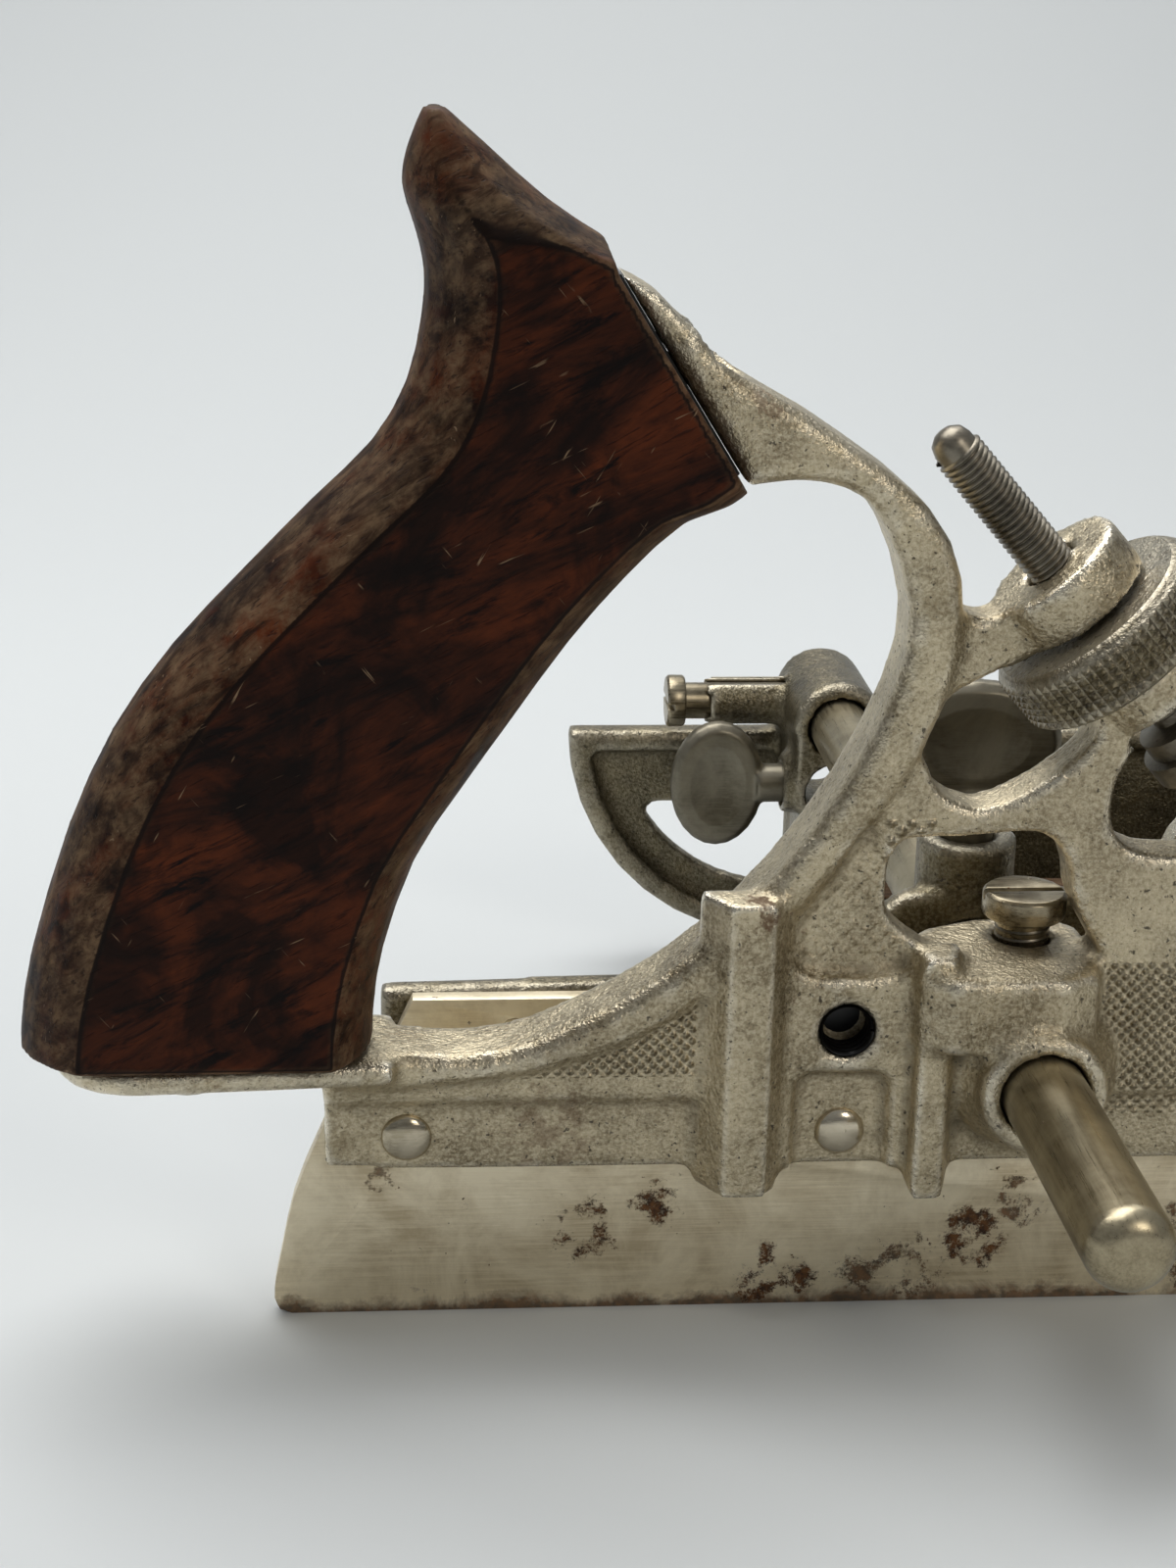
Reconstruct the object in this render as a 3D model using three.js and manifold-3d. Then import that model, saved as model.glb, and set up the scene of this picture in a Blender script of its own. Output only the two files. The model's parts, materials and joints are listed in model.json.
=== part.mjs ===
// Combination plane: a plough plane with a fixed main stock, a sliding second
// skate, and a fence that rides on two long arms.
// Millimetres. +X runs to the toe, +Y to the fence side, +Z up.
// The origin lies on the sole of the main skate, below the rear arm.

import * as THREE from 'three';
import { mergeVertices } from 'three/addons/utils/BufferGeometryUtils.js';
import Module from 'manifold-3d';

const wasm = await Module();
wasm.setup();

// ---------------------------------------------------------------- dimensions

const GAP = 0.3;

const ARM_RADIUS = 5.16;
const ARM_HEIGHT = 33.6;
const ARM_BORE = ARM_RADIUS + GAP;
const ARM_NEAR = -50.8;
const ARM_FAR = 165.2;
const ARM_X = { rear: 0, front: 118 };
const ENDS = ['rear', 'front'];

const SKATE_THICKNESS = 2.6;
const SKATE_TOP = 30;
const MAIN_SKATE_Y = -SKATE_THICKNESS / 2;
const SECTION_SKATE_Y = 27.3;
const HEEL_X = -93.3;
const TOE_X = 174;

// The cutter and its screw run down to the toe at the bed angle.
const BED_ANGLE = THREE.MathUtils.degToRad(48.3);
const FEED = new THREE.Vector3(Math.cos(BED_ANGLE), 0, -Math.sin(BED_ANGLE));
const RISE = new THREE.Vector3(Math.sin(BED_ANGLE), 0, Math.cos(BED_ANGLE));
const SCREW_TIP = new THREE.Vector3(-15.5, 0, 112.1);
const SCREW_RADIUS = 3;
const CUTTER_OFFSET = 5.8;
const CUTTER_THICKNESS = 3.2;
const CUTTER_NEAR = -1.5;
const CUTTER_WIDTH = 31.75;
const CUTTER_TOP = 46;
const CUTTER_EDGE = 157.8;
const WHEEL_RADIUS = 13.5;
const WHEEL_FROM = 27.8;
const WHEEL_TO = 36.3;

const WEB = { near: -4.2, far: 3 };
const FLANGE = { near: -3.1, far: MAIN_SKATE_Y - GAP, low: 20.5 };
const HANDLE_BAR_HALF = 5.5;
const PAD_TOP = 48;
const BOSS_NEAR = -12.3;
const BOSS_RADIUS = 10.4;
const CLAMP_Y = 5;
const CLAMP_RADIUS = 3.3;
const THUMB_RADIUS = 3.5;
const BOLT_RADIUS = 3;
const RIVETS = { near: -3.1, rear: [-76.7, -23.2, 40], front: [136, 158] };
const SECTION_RIVETS = { rear: [-62, 20], front: [132, 154] };
const RIVET_Z = 25.2;

const SECTION_WALL = { near: 30.6, far: 34.6 };
const SECTION_BOSS_Y = 34.5;
const SECTION_BOSS_TOP = 50;
const SECTION_SCREW_Y = SECTION_BOSS_Y + 2.5;

const GRIP_HALF = 11;
const GRIP_CROWN = 13.2;
const GRIP_CREASE = Math.asin(GRIP_HALF / GRIP_CROWN);
const GRIP_BAND = { back: 8, front: 4.5 };
const TAIL_PLATE_TOP = 37.5;
const GRIP_SCREW_X = -103;

const FENCE = { near: 153.5, web: 156, far: 159.5, top: 27.1, low: -13.5, radius: 41 };
const FENCE_CENTRE = { rear: -5.5, front: 123.5 };
const FENCE_WINDOW = { radius: 31, top: 12.5 };
const LOWER_BORE_Z = 21.5;
const TOWER_NEAR = 134;
const FENCE_SCREW_Y = 152;
const FENCE_THUMB_Y = 141;
const WOOD_FACE = { near: 119, far: 127.7, rear: -8, front: 126, low: -13.2, top: 8 };
const FACE_SCREWS = [24, 94];
const KNOB_X = 96;
const KNOB_Y = 146;

const DEPTH_X = 146;
const DEPTH_Y = -11.5;
const STOP_X = 38.5;
const STOP_Z = 43;
const SPUR_X = 112;
const SPUR_Z = 10;

// ----------------------------------------------------------------- materials

const finish = (color, roughness, metalness) =>
  new THREE.MeshStandardMaterial({ color, roughness, metalness });

const NICKEL = finish(0x8f897c, 0.5, 0.9);
const STEEL = finish(0x9a9488, 0.4, 0.9);
const SKATE_STEEL = finish(0xb0a795, 0.5, 0.8);
const POLISHED = finish(0xb9b3a4, 0.25, 1.0);
const THREAD_STEEL = finish(0x6b665c, 0.45, 0.9);
const ROSEWOOD = finish(0x4a2014, 0.45, 0.0);

// ------------------------------------------------------------ solid helpers

// A closed three.js geometry as a solid that can be joined and cut.
function solid(geometry) {
  const plain = geometry.clone();
  plain.deleteAttribute('normal');
  plain.deleteAttribute('uv');
  const merged = mergeVertices(plain, 1e-4);
  const position = merged.attributes.position;
  const corner = (i) => new THREE.Vector3().fromBufferAttribute(position, i);
  const index = [...merged.index.array];
  const triangles = [];
  let volume = 0;
  for (let i = 0; i < index.length; i += 3) {
    const [a, b, c] = index.slice(i, i + 3);
    if (a === b || b === c || c === a) continue;
    triangles.push([a, b, c]);
    volume += corner(a).dot(corner(b).cross(corner(c)));
  }
  const turned = volume < 0 ? triangles.map(([a, b, c]) => [a, c, b]) : triangles;
  return new wasm.Manifold(new wasm.Mesh({
    numProp: 3,
    vertProperties: Float32Array.from(position.array),
    triVerts: Uint32Array.from(turned.flat()),
  }));
}

const join = (...solids) => solids.reduce((whole, next) => whole.add(next));
const cut = (whole, ...tools) => tools.reduce((left, tool) => left.subtract(tool), whole);

function geometryOf(body) {
  const mesh = body.getMesh();
  const geometry = new THREE.BufferGeometry();
  geometry.setAttribute('position', new THREE.BufferAttribute(Float32Array.from(mesh.vertProperties), 3));
  geometry.setIndex(new THREE.BufferAttribute(Uint32Array.from(mesh.triVerts), 1));
  geometry.computeVertexNormals();
  return geometry;
}

// ------------------------------------------------------------ shape helpers

const polygon = (points) => new THREE.Shape(points.map(([u, v]) => new THREE.Vector2(u, v)));

const smooth = (points, divisions) => {
  const curve = new THREE.SplineCurve(points.map(([u, v]) => new THREE.Vector2(u, v)));
  return curve.getPoints(divisions).map((p) => [p.x, p.y]);
};

const ellipse = (radiusU, radiusV, count, u = 0, v = 0) =>
  Array.from({ length: count }, (_, i) => {
    const angle = (2 * Math.PI * i) / count;
    return [u + radiusU * Math.cos(angle), v + radiusV * Math.sin(angle)];
  });

const PLANES = {
  xy: new THREE.Matrix4(),
  xz: new THREE.Matrix4().makeRotationX(Math.PI / 2),
  yz: new THREE.Matrix4().set(0, 0, 1, 0, 1, 0, 0, 0, 0, 1, 0, 0, 0, 0, 0, 1),
};

// An outline in a plane, carried from low to high along the third axis. A
// bevel takes its edges off without changing the outline's size.
function prism(points, plane, low, high, bevel = 0, segments = 1) {
  const geometry = new THREE.ExtrudeGeometry(polygon(points), {
    depth: high - low - 2 * bevel,
    bevelEnabled: bevel > 0,
    bevelThickness: bevel,
    bevelSize: bevel,
    bevelOffset: -bevel,
    bevelSegments: segments,
    steps: 1,
  });
  geometry.applyMatrix4(PLANES[plane]);
  const start = { xy: [0, 0, low + bevel], xz: [0, high - bevel, 0], yz: [low + bevel, 0, 0] }[plane];
  geometry.translate(...start);
  return solid(geometry);
}

function block([x0, x1], [y0, y1], [z0, z1]) {
  const geometry = new THREE.BoxGeometry(x1 - x0, y1 - y0, z1 - z0);
  geometry.translate((x0 + x1) / 2, (y0 + y1) / 2, (z0 + z1) / 2);
  return solid(geometry);
}

const AXES = {
  x: new THREE.Vector3(1, 0, 0),
  y: new THREE.Vector3(0, 1, 0),
  z: new THREE.Vector3(0, 0, 1),
};

// A profile of [radius, height] turned about a line from a point.
function turned(profile, from, axis, segments = 20) {
  const points = profile.map(([radius, height]) => new THREE.Vector2(radius, height));
  const geometry = new THREE.LatheGeometry(points, segments);
  const turn = new THREE.Quaternion().setFromUnitVectors(AXES.y, axis);
  geometry.applyQuaternion(turn);
  geometry.translate(...from);
  return solid(geometry);
}

const rod = (from, axis, length, radius, segments = 20) =>
  turned([[0, 0], [radius, 0], [radius, length], [0, length]], from, axis, segments);

// A skin over rings of equal count, closed by a fan at each end.
function loft(rings) {
  const count = rings[0].length;
  const middle = (ring) => ring.reduce((sum, p) => sum.map((v, i) => v + p[i] / count), [0, 0, 0]);
  const points = [...rings.flat(), middle(rings[0]), middle(rings.at(-1))];
  const first = rings.length * count;
  const index = [];
  for (let k = 0; k < count; k++) {
    const next = (k + 1) % count;
    index.push(first, next, k);
    for (let r = 0; r + 1 < rings.length; r++) {
      const [a, b] = [r * count + k, r * count + next];
      index.push(a, b, b + count, a, b + count, a + count);
    }
    const last = (rings.length - 1) * count;
    index.push(first + 1, last + k, last + next);
  }
  const geometry = new THREE.BufferGeometry();
  geometry.setAttribute('position', new THREE.Float32BufferAttribute(points.flat(), 3));
  geometry.setIndex(index);
  return solid(geometry);
}

const onScrew = (along, rise = 0, y = 0) => {
  const p = SCREW_TIP.clone().addScaledVector(FEED, along).addScaledVector(RISE, rise);
  return [p.x, y, p.z];
};

const onScrewXZ = (along, rise) => {
  const [x, , z] = onScrew(along, rise);
  return [x, z];
};

// The x of a line that runs parallel to the cutter at a distance from the screw.
const bedX = (z, rise) => {
  const [x0, , z0] = onScrew(0, rise);
  return x0 + (z0 - z) / Math.tan(BED_ANGLE);
};

const BED_RISE = CUTTER_OFFSET - GAP;

// ------------------------------------------------------------------ assembly

const plane = new THREE.Group();

function add(name, body, material) {
  const mesh = new THREE.Mesh(geometryOf(body), material);
  mesh.name = name;
  plane.add(mesh);
}

// ---------------------------------------------------------------- main stock

// The bar that rings the hand opening, from the horn down to the tail.
function handleBar() {
  const outer = smooth([
    [-44.4, 124.4], [-40, 119.3], [-28.5, 112.6], [-15.8, 102.5], [-12.2, 90],
    [-16.2, 74.5], [-27.6, 57.5], [-41.6, 43.1], [-57, 35.2], [-78, 32], [-87, 32],
  ], 28);
  const inner = smooth([
    [-87, 37.3], [-78, 37], [-69, 36.6], [-59.8, 38.7], [-44.8, 47.2], [-32.4, 59.6],
    [-22.8, 75], [-18.4, 89.7], [-22.9, 103.3], [-30, 107], [-37.9, 106.4],
  ], 28);
  const horn = [[-52.9, 130.1], [-48.6, 127.6], [-43.4, 122.4], [-38, 112], [-38.2, 106.9]];
  return join(
    prism([...outer, ...inner, [-48.2, 122.6]], 'xz', -HANDLE_BAR_HALF, HANDLE_BAR_HALF, 1.2),
    prism(horn, 'xz', -HANDLE_BAR_HALF + 0.8, HANDLE_BAR_HALF - 0.8),
  );
}

// The plate that the foot of the grip stands on.
function tailPlate() {
  const nose = ellipse(10, 10, 16).slice(4, 13).map(([x, y]) => [x - 109, y]);
  const outline = [[-78, -8], [-78, 8], ...nose];
  return prism(outline, 'xy', 34, TAIL_PLATE_TOP - GAP, 0.8);
}

// The wall above the skate, from the tail to the bed of the cutter.
function rearWeb() {
  const outline = [
    [-86.8, SKATE_TOP + GAP], [bedX(SKATE_TOP + GAP, BED_RISE), SKATE_TOP + GAP],
    [bedX(83, BED_RISE), 83], [12, 82], [5.5, 77.4],
    ...smooth([[3.8, 75], [0.8, 72.1], [-3.8, 69.1], [-8.5, 67.4], [-13.3, 69.4], [-15, 72.5]], 10),
    [-18, 78], [-34, 54], [-60, 34.5], [-86.8, 32.5],
  ];
  return prism(outline, 'xz', WEB.near, WEB.far);
}

// The near cheek reaches over the throat and carries the front of the stock.
function frontCheek() {
  const throat = smooth([[bedX(31, BED_RISE), 31], [62, 40], [71, 47.5], [88, 50.5],
    [102, 45], [108.5, 31]], 18);
  const outline = [
    [30, 64], [36, 72.5], [50, 71], [74, 65], [98, 59], [106, 54], [134, 54], [142, 58],
    [158, 58], [166, 50], [168.5, 40], [168.5, 31], ...throat.reverse(), [50, 40],
  ];
  const thick = [
    [110, SKATE_TOP + GAP], [168.5, SKATE_TOP + GAP], [168.5, 40], [166, 50], [158, 58],
    [142, 58], [134, 54], [106, 54], [104.5, 48], [108.5, 38],
  ];
  return join(
    prism(outline, 'xz', WEB.near, CUTTER_NEAR - GAP),
    prism(thick, 'xz', WEB.near, WEB.far),
  );
}

function skateFlanges() {
  const rear = [
    [-86.8, FLANGE.low + 0.5], [-60, FLANGE.low], [bedX(FLANGE.low, BED_RISE), FLANGE.low],
    [bedX(32, BED_RISE), 32], [-86.8, 32],
  ];
  const front = [[110, FLANGE.low], [168.5, FLANGE.low], [168.5, 32], [108, 32]];
  return join(...[rear, front].map((outline) => prism(outline, 'xz', FLANGE.near, FLANGE.far)));
}

// The slitter's seat: a groove between two rails, left empty.
function slitterSeat() {
  const rails = join(
    prism([[-41.5, FLANGE.near], [-38.2, -8], [-32.6, -8], [-32.6, -6.4], [-31.4, -6.4],
      [-31.4, FLANGE.far], [-41.5, FLANGE.far]], 'xy', 18.5, 57),
    prism([[-15, FLANGE.far], [-15, -8], [-11, -8], [-9.4, FLANGE.near], [-9.4, FLANGE.far]],
      'xy', 18, 50),
  );
  const floor = block([-31.5, -14.9], [-5, FLANGE.far], [FLANGE.low, 48]);
  return join(rails, floor);
}

function slitterCuts() {
  const pocket = prism([
    [-29.4, 18], [-17.4, 18], ...ellipse(2, 2, 8, -19.4, 31.8).slice(0, 3),
    ...ellipse(2, 2, 8, -27.4, 31.8).slice(2, 5),
  ], 'xz', -9, FLANGE.near);
  const panel = prism(smooth([[-30, 50], [-28.6, 46.6], [-17.6, 46.6], [-16, 50], [-19.5, 62],
    [-22, 66], [-26, 59], [-30, 53.5], [-30, 50]], 24), 'xz', -9, WEB.near + 1.2);
  const tappedHole = rod([-23.2, -9, 39.3], AXES.y, 10, 3.35, 20);
  return [pocket, panel, tappedHole];
}

// Boss, shelf and bore for one arm.
function armBoss(x) {
  const length = 12 - BOSS_NEAR;
  const collar = turned([[0, 0], [7.2, 0], [7.9, 0.7], [7.9, 4], [BOSS_RADIUS, 7.4], [BOSS_RADIUS,
    length - 4],
    [8.4, length], [0, length]], [x, BOSS_NEAR, ARM_HEIGHT], AXES.y, 32);
  const shelf = prism([
    [x - 15, -8], [x - 11, -10.4], [x + 2, -10.4], [x + 6.5, -8], [x + 8, -3], [x + 8, 8],
    [x + 5, 11], [x - 5, 11], [x - 12, 8], [x - 16, WEB.far], [x - 16, WEB.near],
  ], 'xy', 38, PAD_TOP, 0.8);
  return join(collar, shelf);
}

const armBore = (x) => rod([x, -60, ARM_HEIGHT], AXES.y, 240, ARM_BORE, 24);
const clampBore = (x) => rod([x, CLAMP_Y, ARM_HEIGHT], AXES.z, 30, CLAMP_RADIUS + GAP, 20);

function stockWindows() {
  const clampWindow = smooth([[-12, PAD_TOP], [-18.3, 53], [-19.1, 58], [-18.2, 63.1], [-15, 64],
    [-8.2, 64.1], [-2, 64.7], [1.2, 63], [3, 59.5], [4, 55], [8, PAD_TOP]], 26);
  const sideWindow = smooth([[30, 65], [24, 62], [15.6, 61.3], [9.6, 62.5], [7.3, 66.5],
    [8, 72], [9.5, 74.5]], 14);
  const screwRoom = [onScrewXZ(42.8, 7), onScrewXZ(58, 7)];
  const notch = [[106.5, PAD_TOP], [127, PAD_TOP], [131, 53], [131.5, 70], [104, 70], [104.5, 53]];
  return [
    prism(clampWindow, 'xz', -20, 20),
    prism([...screwRoom, ...sideWindow], 'xz', -20, 20),
    prism(notch, 'xz', -20, 20),
  ];
}

// Two lugs hold the adjusting wheel between them.
function screwLugs() {
  const arm = smooth([[-15, 93], [-12, 91.4], [-8.5, 90.8], [-4.5, 94], [0, 99.2]], 10);
  const armOutline = [...arm, [6, 90.4], [-0.5, 86.3], [-7, 84.6], [-11.5, 82.2], [-16, 79]];
  const ring = rod(onScrew(20.8), FEED, 6.5, 8.6, 32);
  const lowerRing = turned([[0, 0], [7.2, 0], [7.2, 5.6], [0, 5.6]], onScrew(36.9), FEED, 32);
  const neck = prism([[12, 82], [bedX(80, BED_RISE), 80], onScrewXZ(38, 5), onScrewXZ(38, -6),
    [4.8, 76.4]], 'xz', WEB.near, WEB.far);
  return join(prism(armOutline, 'xz', -3.6, 3.6, 0.6), ring, lowerRing, neck);
}

// Lugs on the near side guide the post of the depth gauge.
function gaugeGuide() {
  const side = [DEPTH_X - 7, DEPTH_X + 7];
  const depth = [DEPTH_Y - 5.5, WEB.near + 0.5];
  const bore = rod([DEPTH_X, DEPTH_Y, 0], AXES.z, 100, 3 + GAP, 20);
  const lock = rod([DEPTH_X, DEPTH_Y - 12, 38.6], AXES.y, 12, 2.5 + GAP, 16);
  return cut(join(block(side, depth, [34, 43.4]), block(side, depth, [50.6, 57])), bore, lock);
}

const rivetHoles = (xs, y) => xs.map((x) => rod([x, y - 10, RIVET_Z], AXES.y, 20, 1.8 + GAP, 12));

const CUTTER_BOLT = onScrew(88, 17);

function mainStock() {
  const boltBoss = rod([CUTTER_BOLT[0], -7, CUTTER_BOLT[2]], AXES.y, 5.2, 7, 24);
  const whole = join(handleBar(), tailPlate(), rearWeb(), frontCheek(), skateFlanges(),
    ...ENDS.map((end) => armBoss(ARM_X[end])), boltBoss, screwLugs());
  const windowed = cut(whole, ...stockWindows());
  const seated = cut(join(windowed, slitterSeat()), ...slitterCuts());
  // The cutter, its bolt, the screw and the wheel all need room.
  const cutterRoom = prism([onScrewXZ(43, BED_RISE), onScrewXZ(170, BED_RISE),
    onScrewXZ(170, 30), onScrewXZ(43, 30)], 'xz', CUTTER_NEAR - GAP, 40);
  const wheelRoom = rod(onScrew(WHEEL_FROM - 0.5), FEED, WHEEL_TO - WHEEL_FROM + 1,
    WHEEL_RADIUS + 0.6, 36);
  const keptWheelRoom = cut(wheelRoom, block([-40, -13.5], [-20, 20], [60, 110]));
  const collarRoom = rod(onScrew(42.6), FEED, 15, 7, 28);
  return cut(join(cut(seated, cutterRoom, keptWheelRoom, collarRoom), gaugeGuide()),
    ...ENDS.flatMap((end) => [armBore(ARM_X[end]), clampBore(ARM_X[end])]),
    rod(onScrew(-5), FEED, 60, SCREW_RADIUS + GAP, 24),
    rod([CUTTER_BOLT[0], -20, CUTTER_BOLT[2]], AXES.y, 40, BOLT_RADIUS + GAP, 20),
    ...rivetHoles([...RIVETS.rear, ...RIVETS.front], 0),
    gripScrewTool(GAP), hornScrewTool(GAP),
    rod([DEPTH_X, DEPTH_Y, 0], AXES.z, 100, 3 + GAP, 20));
}

// ---------------------------------------------------------------------- grip

const SEAT_LOW = [-38.5, 106.5];
const SEAT_HIGH = [-53.7, 130.6];

// Front and back points of the grip, from below its foot to its peak. The
// front points by the horn stand past the flat seat that trims them.
const GRIP_STATIONS = [
  [-80.8, 31, -123.4, 31], [-80.6, 41, -122.8, 40], [-79.2, 50, -121, 49.6], [-75.3, 61.5, -116, 65],
  [-70, 70, -110.3, 77], [-64.2, 78.5, -103.2, 87], [-57.6, 88, -95, 95.8], [-50.9, 96, -87, 104],
  [-44, 102.5, -80.3, 110.6], [-35.5, 106.8, -76.4, 117.3], [-39, 119, -74.7, 124.5],
  [-47, 130, -74.4, 130], [-53, 132.6, -75.6, 135], [-60.7, 137.4, -76.8, 139], [-67.2, 142.9, -76.1, 143],
  [-72, 147, -74.4, 147],
];

// One section of the grip: flat cheeks that meet a crowned back and front at a crease.
function gripRing([fx, fz], [bx, bz], narrowing) {
  const depth = Math.hypot(fx - bx, fz - bz);
  const arc = (band, from) => Array.from({ length: 9 }, (_, k) => {
    const angle = from * GRIP_CREASE * (1 - k / 4);
    const inset = Math.min(band, depth * 0.35) * (1 - Math.cos(angle)) / (1 - Math.cos(GRIP_CREASE));
    return [inset / depth, GRIP_CROWN * narrowing * Math.sin(angle)];
  });
  const front = arc(GRIP_BAND.front, -1);
  const back = arc(GRIP_BAND.back, 1).map(([share, y]) => [1 - share, y]);
  return [...front, ...back].map(([share, y]) => [fx + (bx - fx) * share, y, fz + (bz - fz) * share]);
}

function grip() {
  const divisions = (GRIP_STATIONS.length - 1) * 2;
  const fronts = smooth(GRIP_STATIONS.map(([fx, fz]) => [fx, fz]), divisions);
  const backs = smooth(GRIP_STATIONS.map(([, , bx, bz]) => [bx, bz]), divisions);
  const rings = fronts.map((front, i) =>
    gripRing(front, backs[i], Math.min(1, (divisions - i + 4.4) / 10)));
  const sharp = prism([
    [-130, TAIL_PLATE_TOP], [-60, TAIL_PLATE_TOP], [-20, 77.2], SEAT_LOW, SEAT_HIGH, [-60.7, 160],
    [-130, 160],
  ], 'xz', -GRIP_HALF - 1, GRIP_HALF + 1);
  return cut(loft(rings).intersect(sharp), gripScrewTool(GAP), hornScrewTool(GAP));
}

// A countersunk screw that ties the horn to the top of the grip.
const SEAT_NORMAL = new THREE.Vector3(0.846, 0, 0.533).normalize();
const HORN_SCREW_HEAD = [-42.4, 0, 121.2];
const hornScrewTool = (gap) => turned([[0, -12], [4 + gap, -12], [4 + gap, 1.6], [2 + gap, 4.4],
  [2 + gap, 22 + gap], [0, 22 + gap]], HORN_SCREW_HEAD, SEAT_NORMAL.clone().negate(), 16);

const hornScrew = () => turned([[0, 0.6], [4, 0.6], [4, 1.6], [2, 4.4], [2, 22], [0, 22]],
  HORN_SCREW_HEAD, SEAT_NORMAL.clone().negate(), 16);

const gripScrewTool = (gap) => rod([GRIP_SCREW_X, 0, 30], AXES.z, 32 + gap, 2.4 + gap, 16);
const gripScrew = () => turned([[0, 0], [3.4, 0], [4.6, 1], [4.6, 2.2], [2.4, 2.2], [2.4, 30], [0, 30]],
  [GRIP_SCREW_X, 0, 31.4], AXES.z, 16);

// -------------------------------------------------------------------- skates

// The skates are notched where the arms and their bosses pass.
const bossNotch = (x) => rod([x, -20, ARM_HEIGHT], AXES.y, 80, BOSS_RADIUS + GAP, 24);

function rearSkate(heelX, y) {
  const drop = heelX - HEEL_X;
  const heel = smooth([[-92.6, 0.6], [-93.3, 2.8], [-92.4, 8], [-90.4, 17], [-86.8, 26], [-85,
    SKATE_TOP]], 12)
    .map(([x, z]) => [x + drop, z]);
  const outline = [[heelX + 2.2, 0], ...heel, [bedX(SKATE_TOP, BED_RISE), SKATE_TOP],
    [bedX(0, BED_RISE), 0]];
  return cut(prism(outline.reverse(), 'xz', y, y + SKATE_THICKNESS), bossNotch(ARM_X.rear));
}

function frontSkate(toeX, y) {
  const toe = smooth([[toeX - 3, 0], [toeX, 3], [toeX - 1, 16], [toeX - 6, SKATE_TOP]], 8);
  const outline = [[99.5, 0], ...toe, [112, SKATE_TOP], [105, 14]];
  return cut(prism(outline, 'xz', y, y + SKATE_THICKNESS), bossNotch(ARM_X.front));
}

const spurPocket = (y) => join(
  rod([SPUR_X, y - 3, SPUR_Z], AXES.y, 6, 2 + GAP, 16),
  rod([SPUR_X, y < 10 ? y - 1.5 : y, SPUR_Z], AXES.y, 1.5, 11.2, 32),
);

// A star-shaped nicker; its three lobes stand clear of the sole.
function spur(y) {
  const lobes = Array.from({ length: 36 }, (_, i) => {
    const angle = (2 * Math.PI * i) / 36;
    const radius = 7.2 + 3.4 * Math.cos(3 * (angle - Math.PI / 2));
    return [SPUR_X + radius * Math.cos(angle), SPUR_Z + radius * Math.sin(angle)];
  });
  return cut(prism(lobes, 'xz', y, y + 1), rod([SPUR_X, y - 3, SPUR_Z], AXES.y, 6, 2.3, 16));
}

const spurScrew = (y) => rod([SPUR_X, y, SPUR_Z], AXES.y, 2.4, 2, 16);

function skates() {
  const nearFace = MAIN_SKATE_Y;
  const farFace = SECTION_SKATE_Y + SKATE_THICKNESS;
  add('rear_skate', cut(rearSkate(HEEL_X, MAIN_SKATE_Y), ...rivetHoles(RIVETS.rear, 0)), SKATE_STEEL);
  add('front_skate', cut(frontSkate(TOE_X, MAIN_SKATE_Y), ...rivetHoles(RIVETS.front, 0),
    spurPocket(nearFace + 1.5)), SKATE_STEEL);
  add('section_rear_skate', cut(rearSkate(-84, SECTION_SKATE_Y),
    ...rivetHoles(SECTION_RIVETS.rear, SECTION_SKATE_Y)), SKATE_STEEL);
  add('section_front_skate', cut(frontSkate(166, SECTION_SKATE_Y),
    ...rivetHoles(SECTION_RIVETS.front, SECTION_SKATE_Y), spurPocket(farFace - 1.5)), SKATE_STEEL);
  add('main_spur', spur(nearFace + 0.1), STEEL);
  add('main_spur_screw', spurScrew(nearFace - 0.3), POLISHED);
  add('section_spur', spur(farFace - 1.1), STEEL);
  add('section_spur_screw', spurScrew(farFace - 2.1), POLISHED);
}

// A rivet with a domed head at the near end of a plain shank.
const rivet = (x, y, length) => turned([[0, -1.4], [1.7, -1.2], [2.9, -0.5], [3.3, 0.1 - GAP],
  [1.8, 0.1 - GAP], [1.8, length], [0, length]], [x, y, RIVET_Z], AXES.y, 10);

function mainRivets() {
  [...RIVETS.rear, ...RIVETS.front].forEach((x, i) => {
    add(`skate_rivet_${i + 1}`, rivet(x, RIVETS.near, 4.4), POLISHED);
  });
}

// ---------------------------------------------------------------------- arms

// A plain round bar with a domed end at each side.
function arm(x) {
  const length = ARM_FAR - ARM_NEAR;
  const dome = [[0, 0], [2.6, 0.5], [4.3, 1.9], [ARM_RADIUS, 4.2]];
  const other = dome.map(([radius, height]) => [radius, length - height]).reverse();
  return turned([...dome, ...other], [x, ARM_NEAR, ARM_HEIGHT], AXES.y, 24);
}

// A cheese-headed screw: shank, neck and a head with one slot.
function slottedScrew(from, axis, shank, headRadius = 5.2, headHeight = 3.3) {
  const body = turned([[0, 0], [CLAMP_RADIUS, 0], [CLAMP_RADIUS, shank], [headRadius - 0.3, shank],
    [headRadius, shank + 0.4], [headRadius, shank + headHeight - 0.4],
    [headRadius - 0.4, shank + headHeight], [0, shank + headHeight]], from, axis, 24);
  const top = axis.clone().multiplyScalar(shank + headHeight).add(new THREE.Vector3(...from));
  const slot = new THREE.BoxGeometry(2 * headRadius + 2, 2.4, 1.1);
  slot.applyQuaternion(new THREE.Quaternion().setFromUnitVectors(AXES.y, axis));
  slot.translate(...top);
  return cut(body, solid(slot));
}

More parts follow.
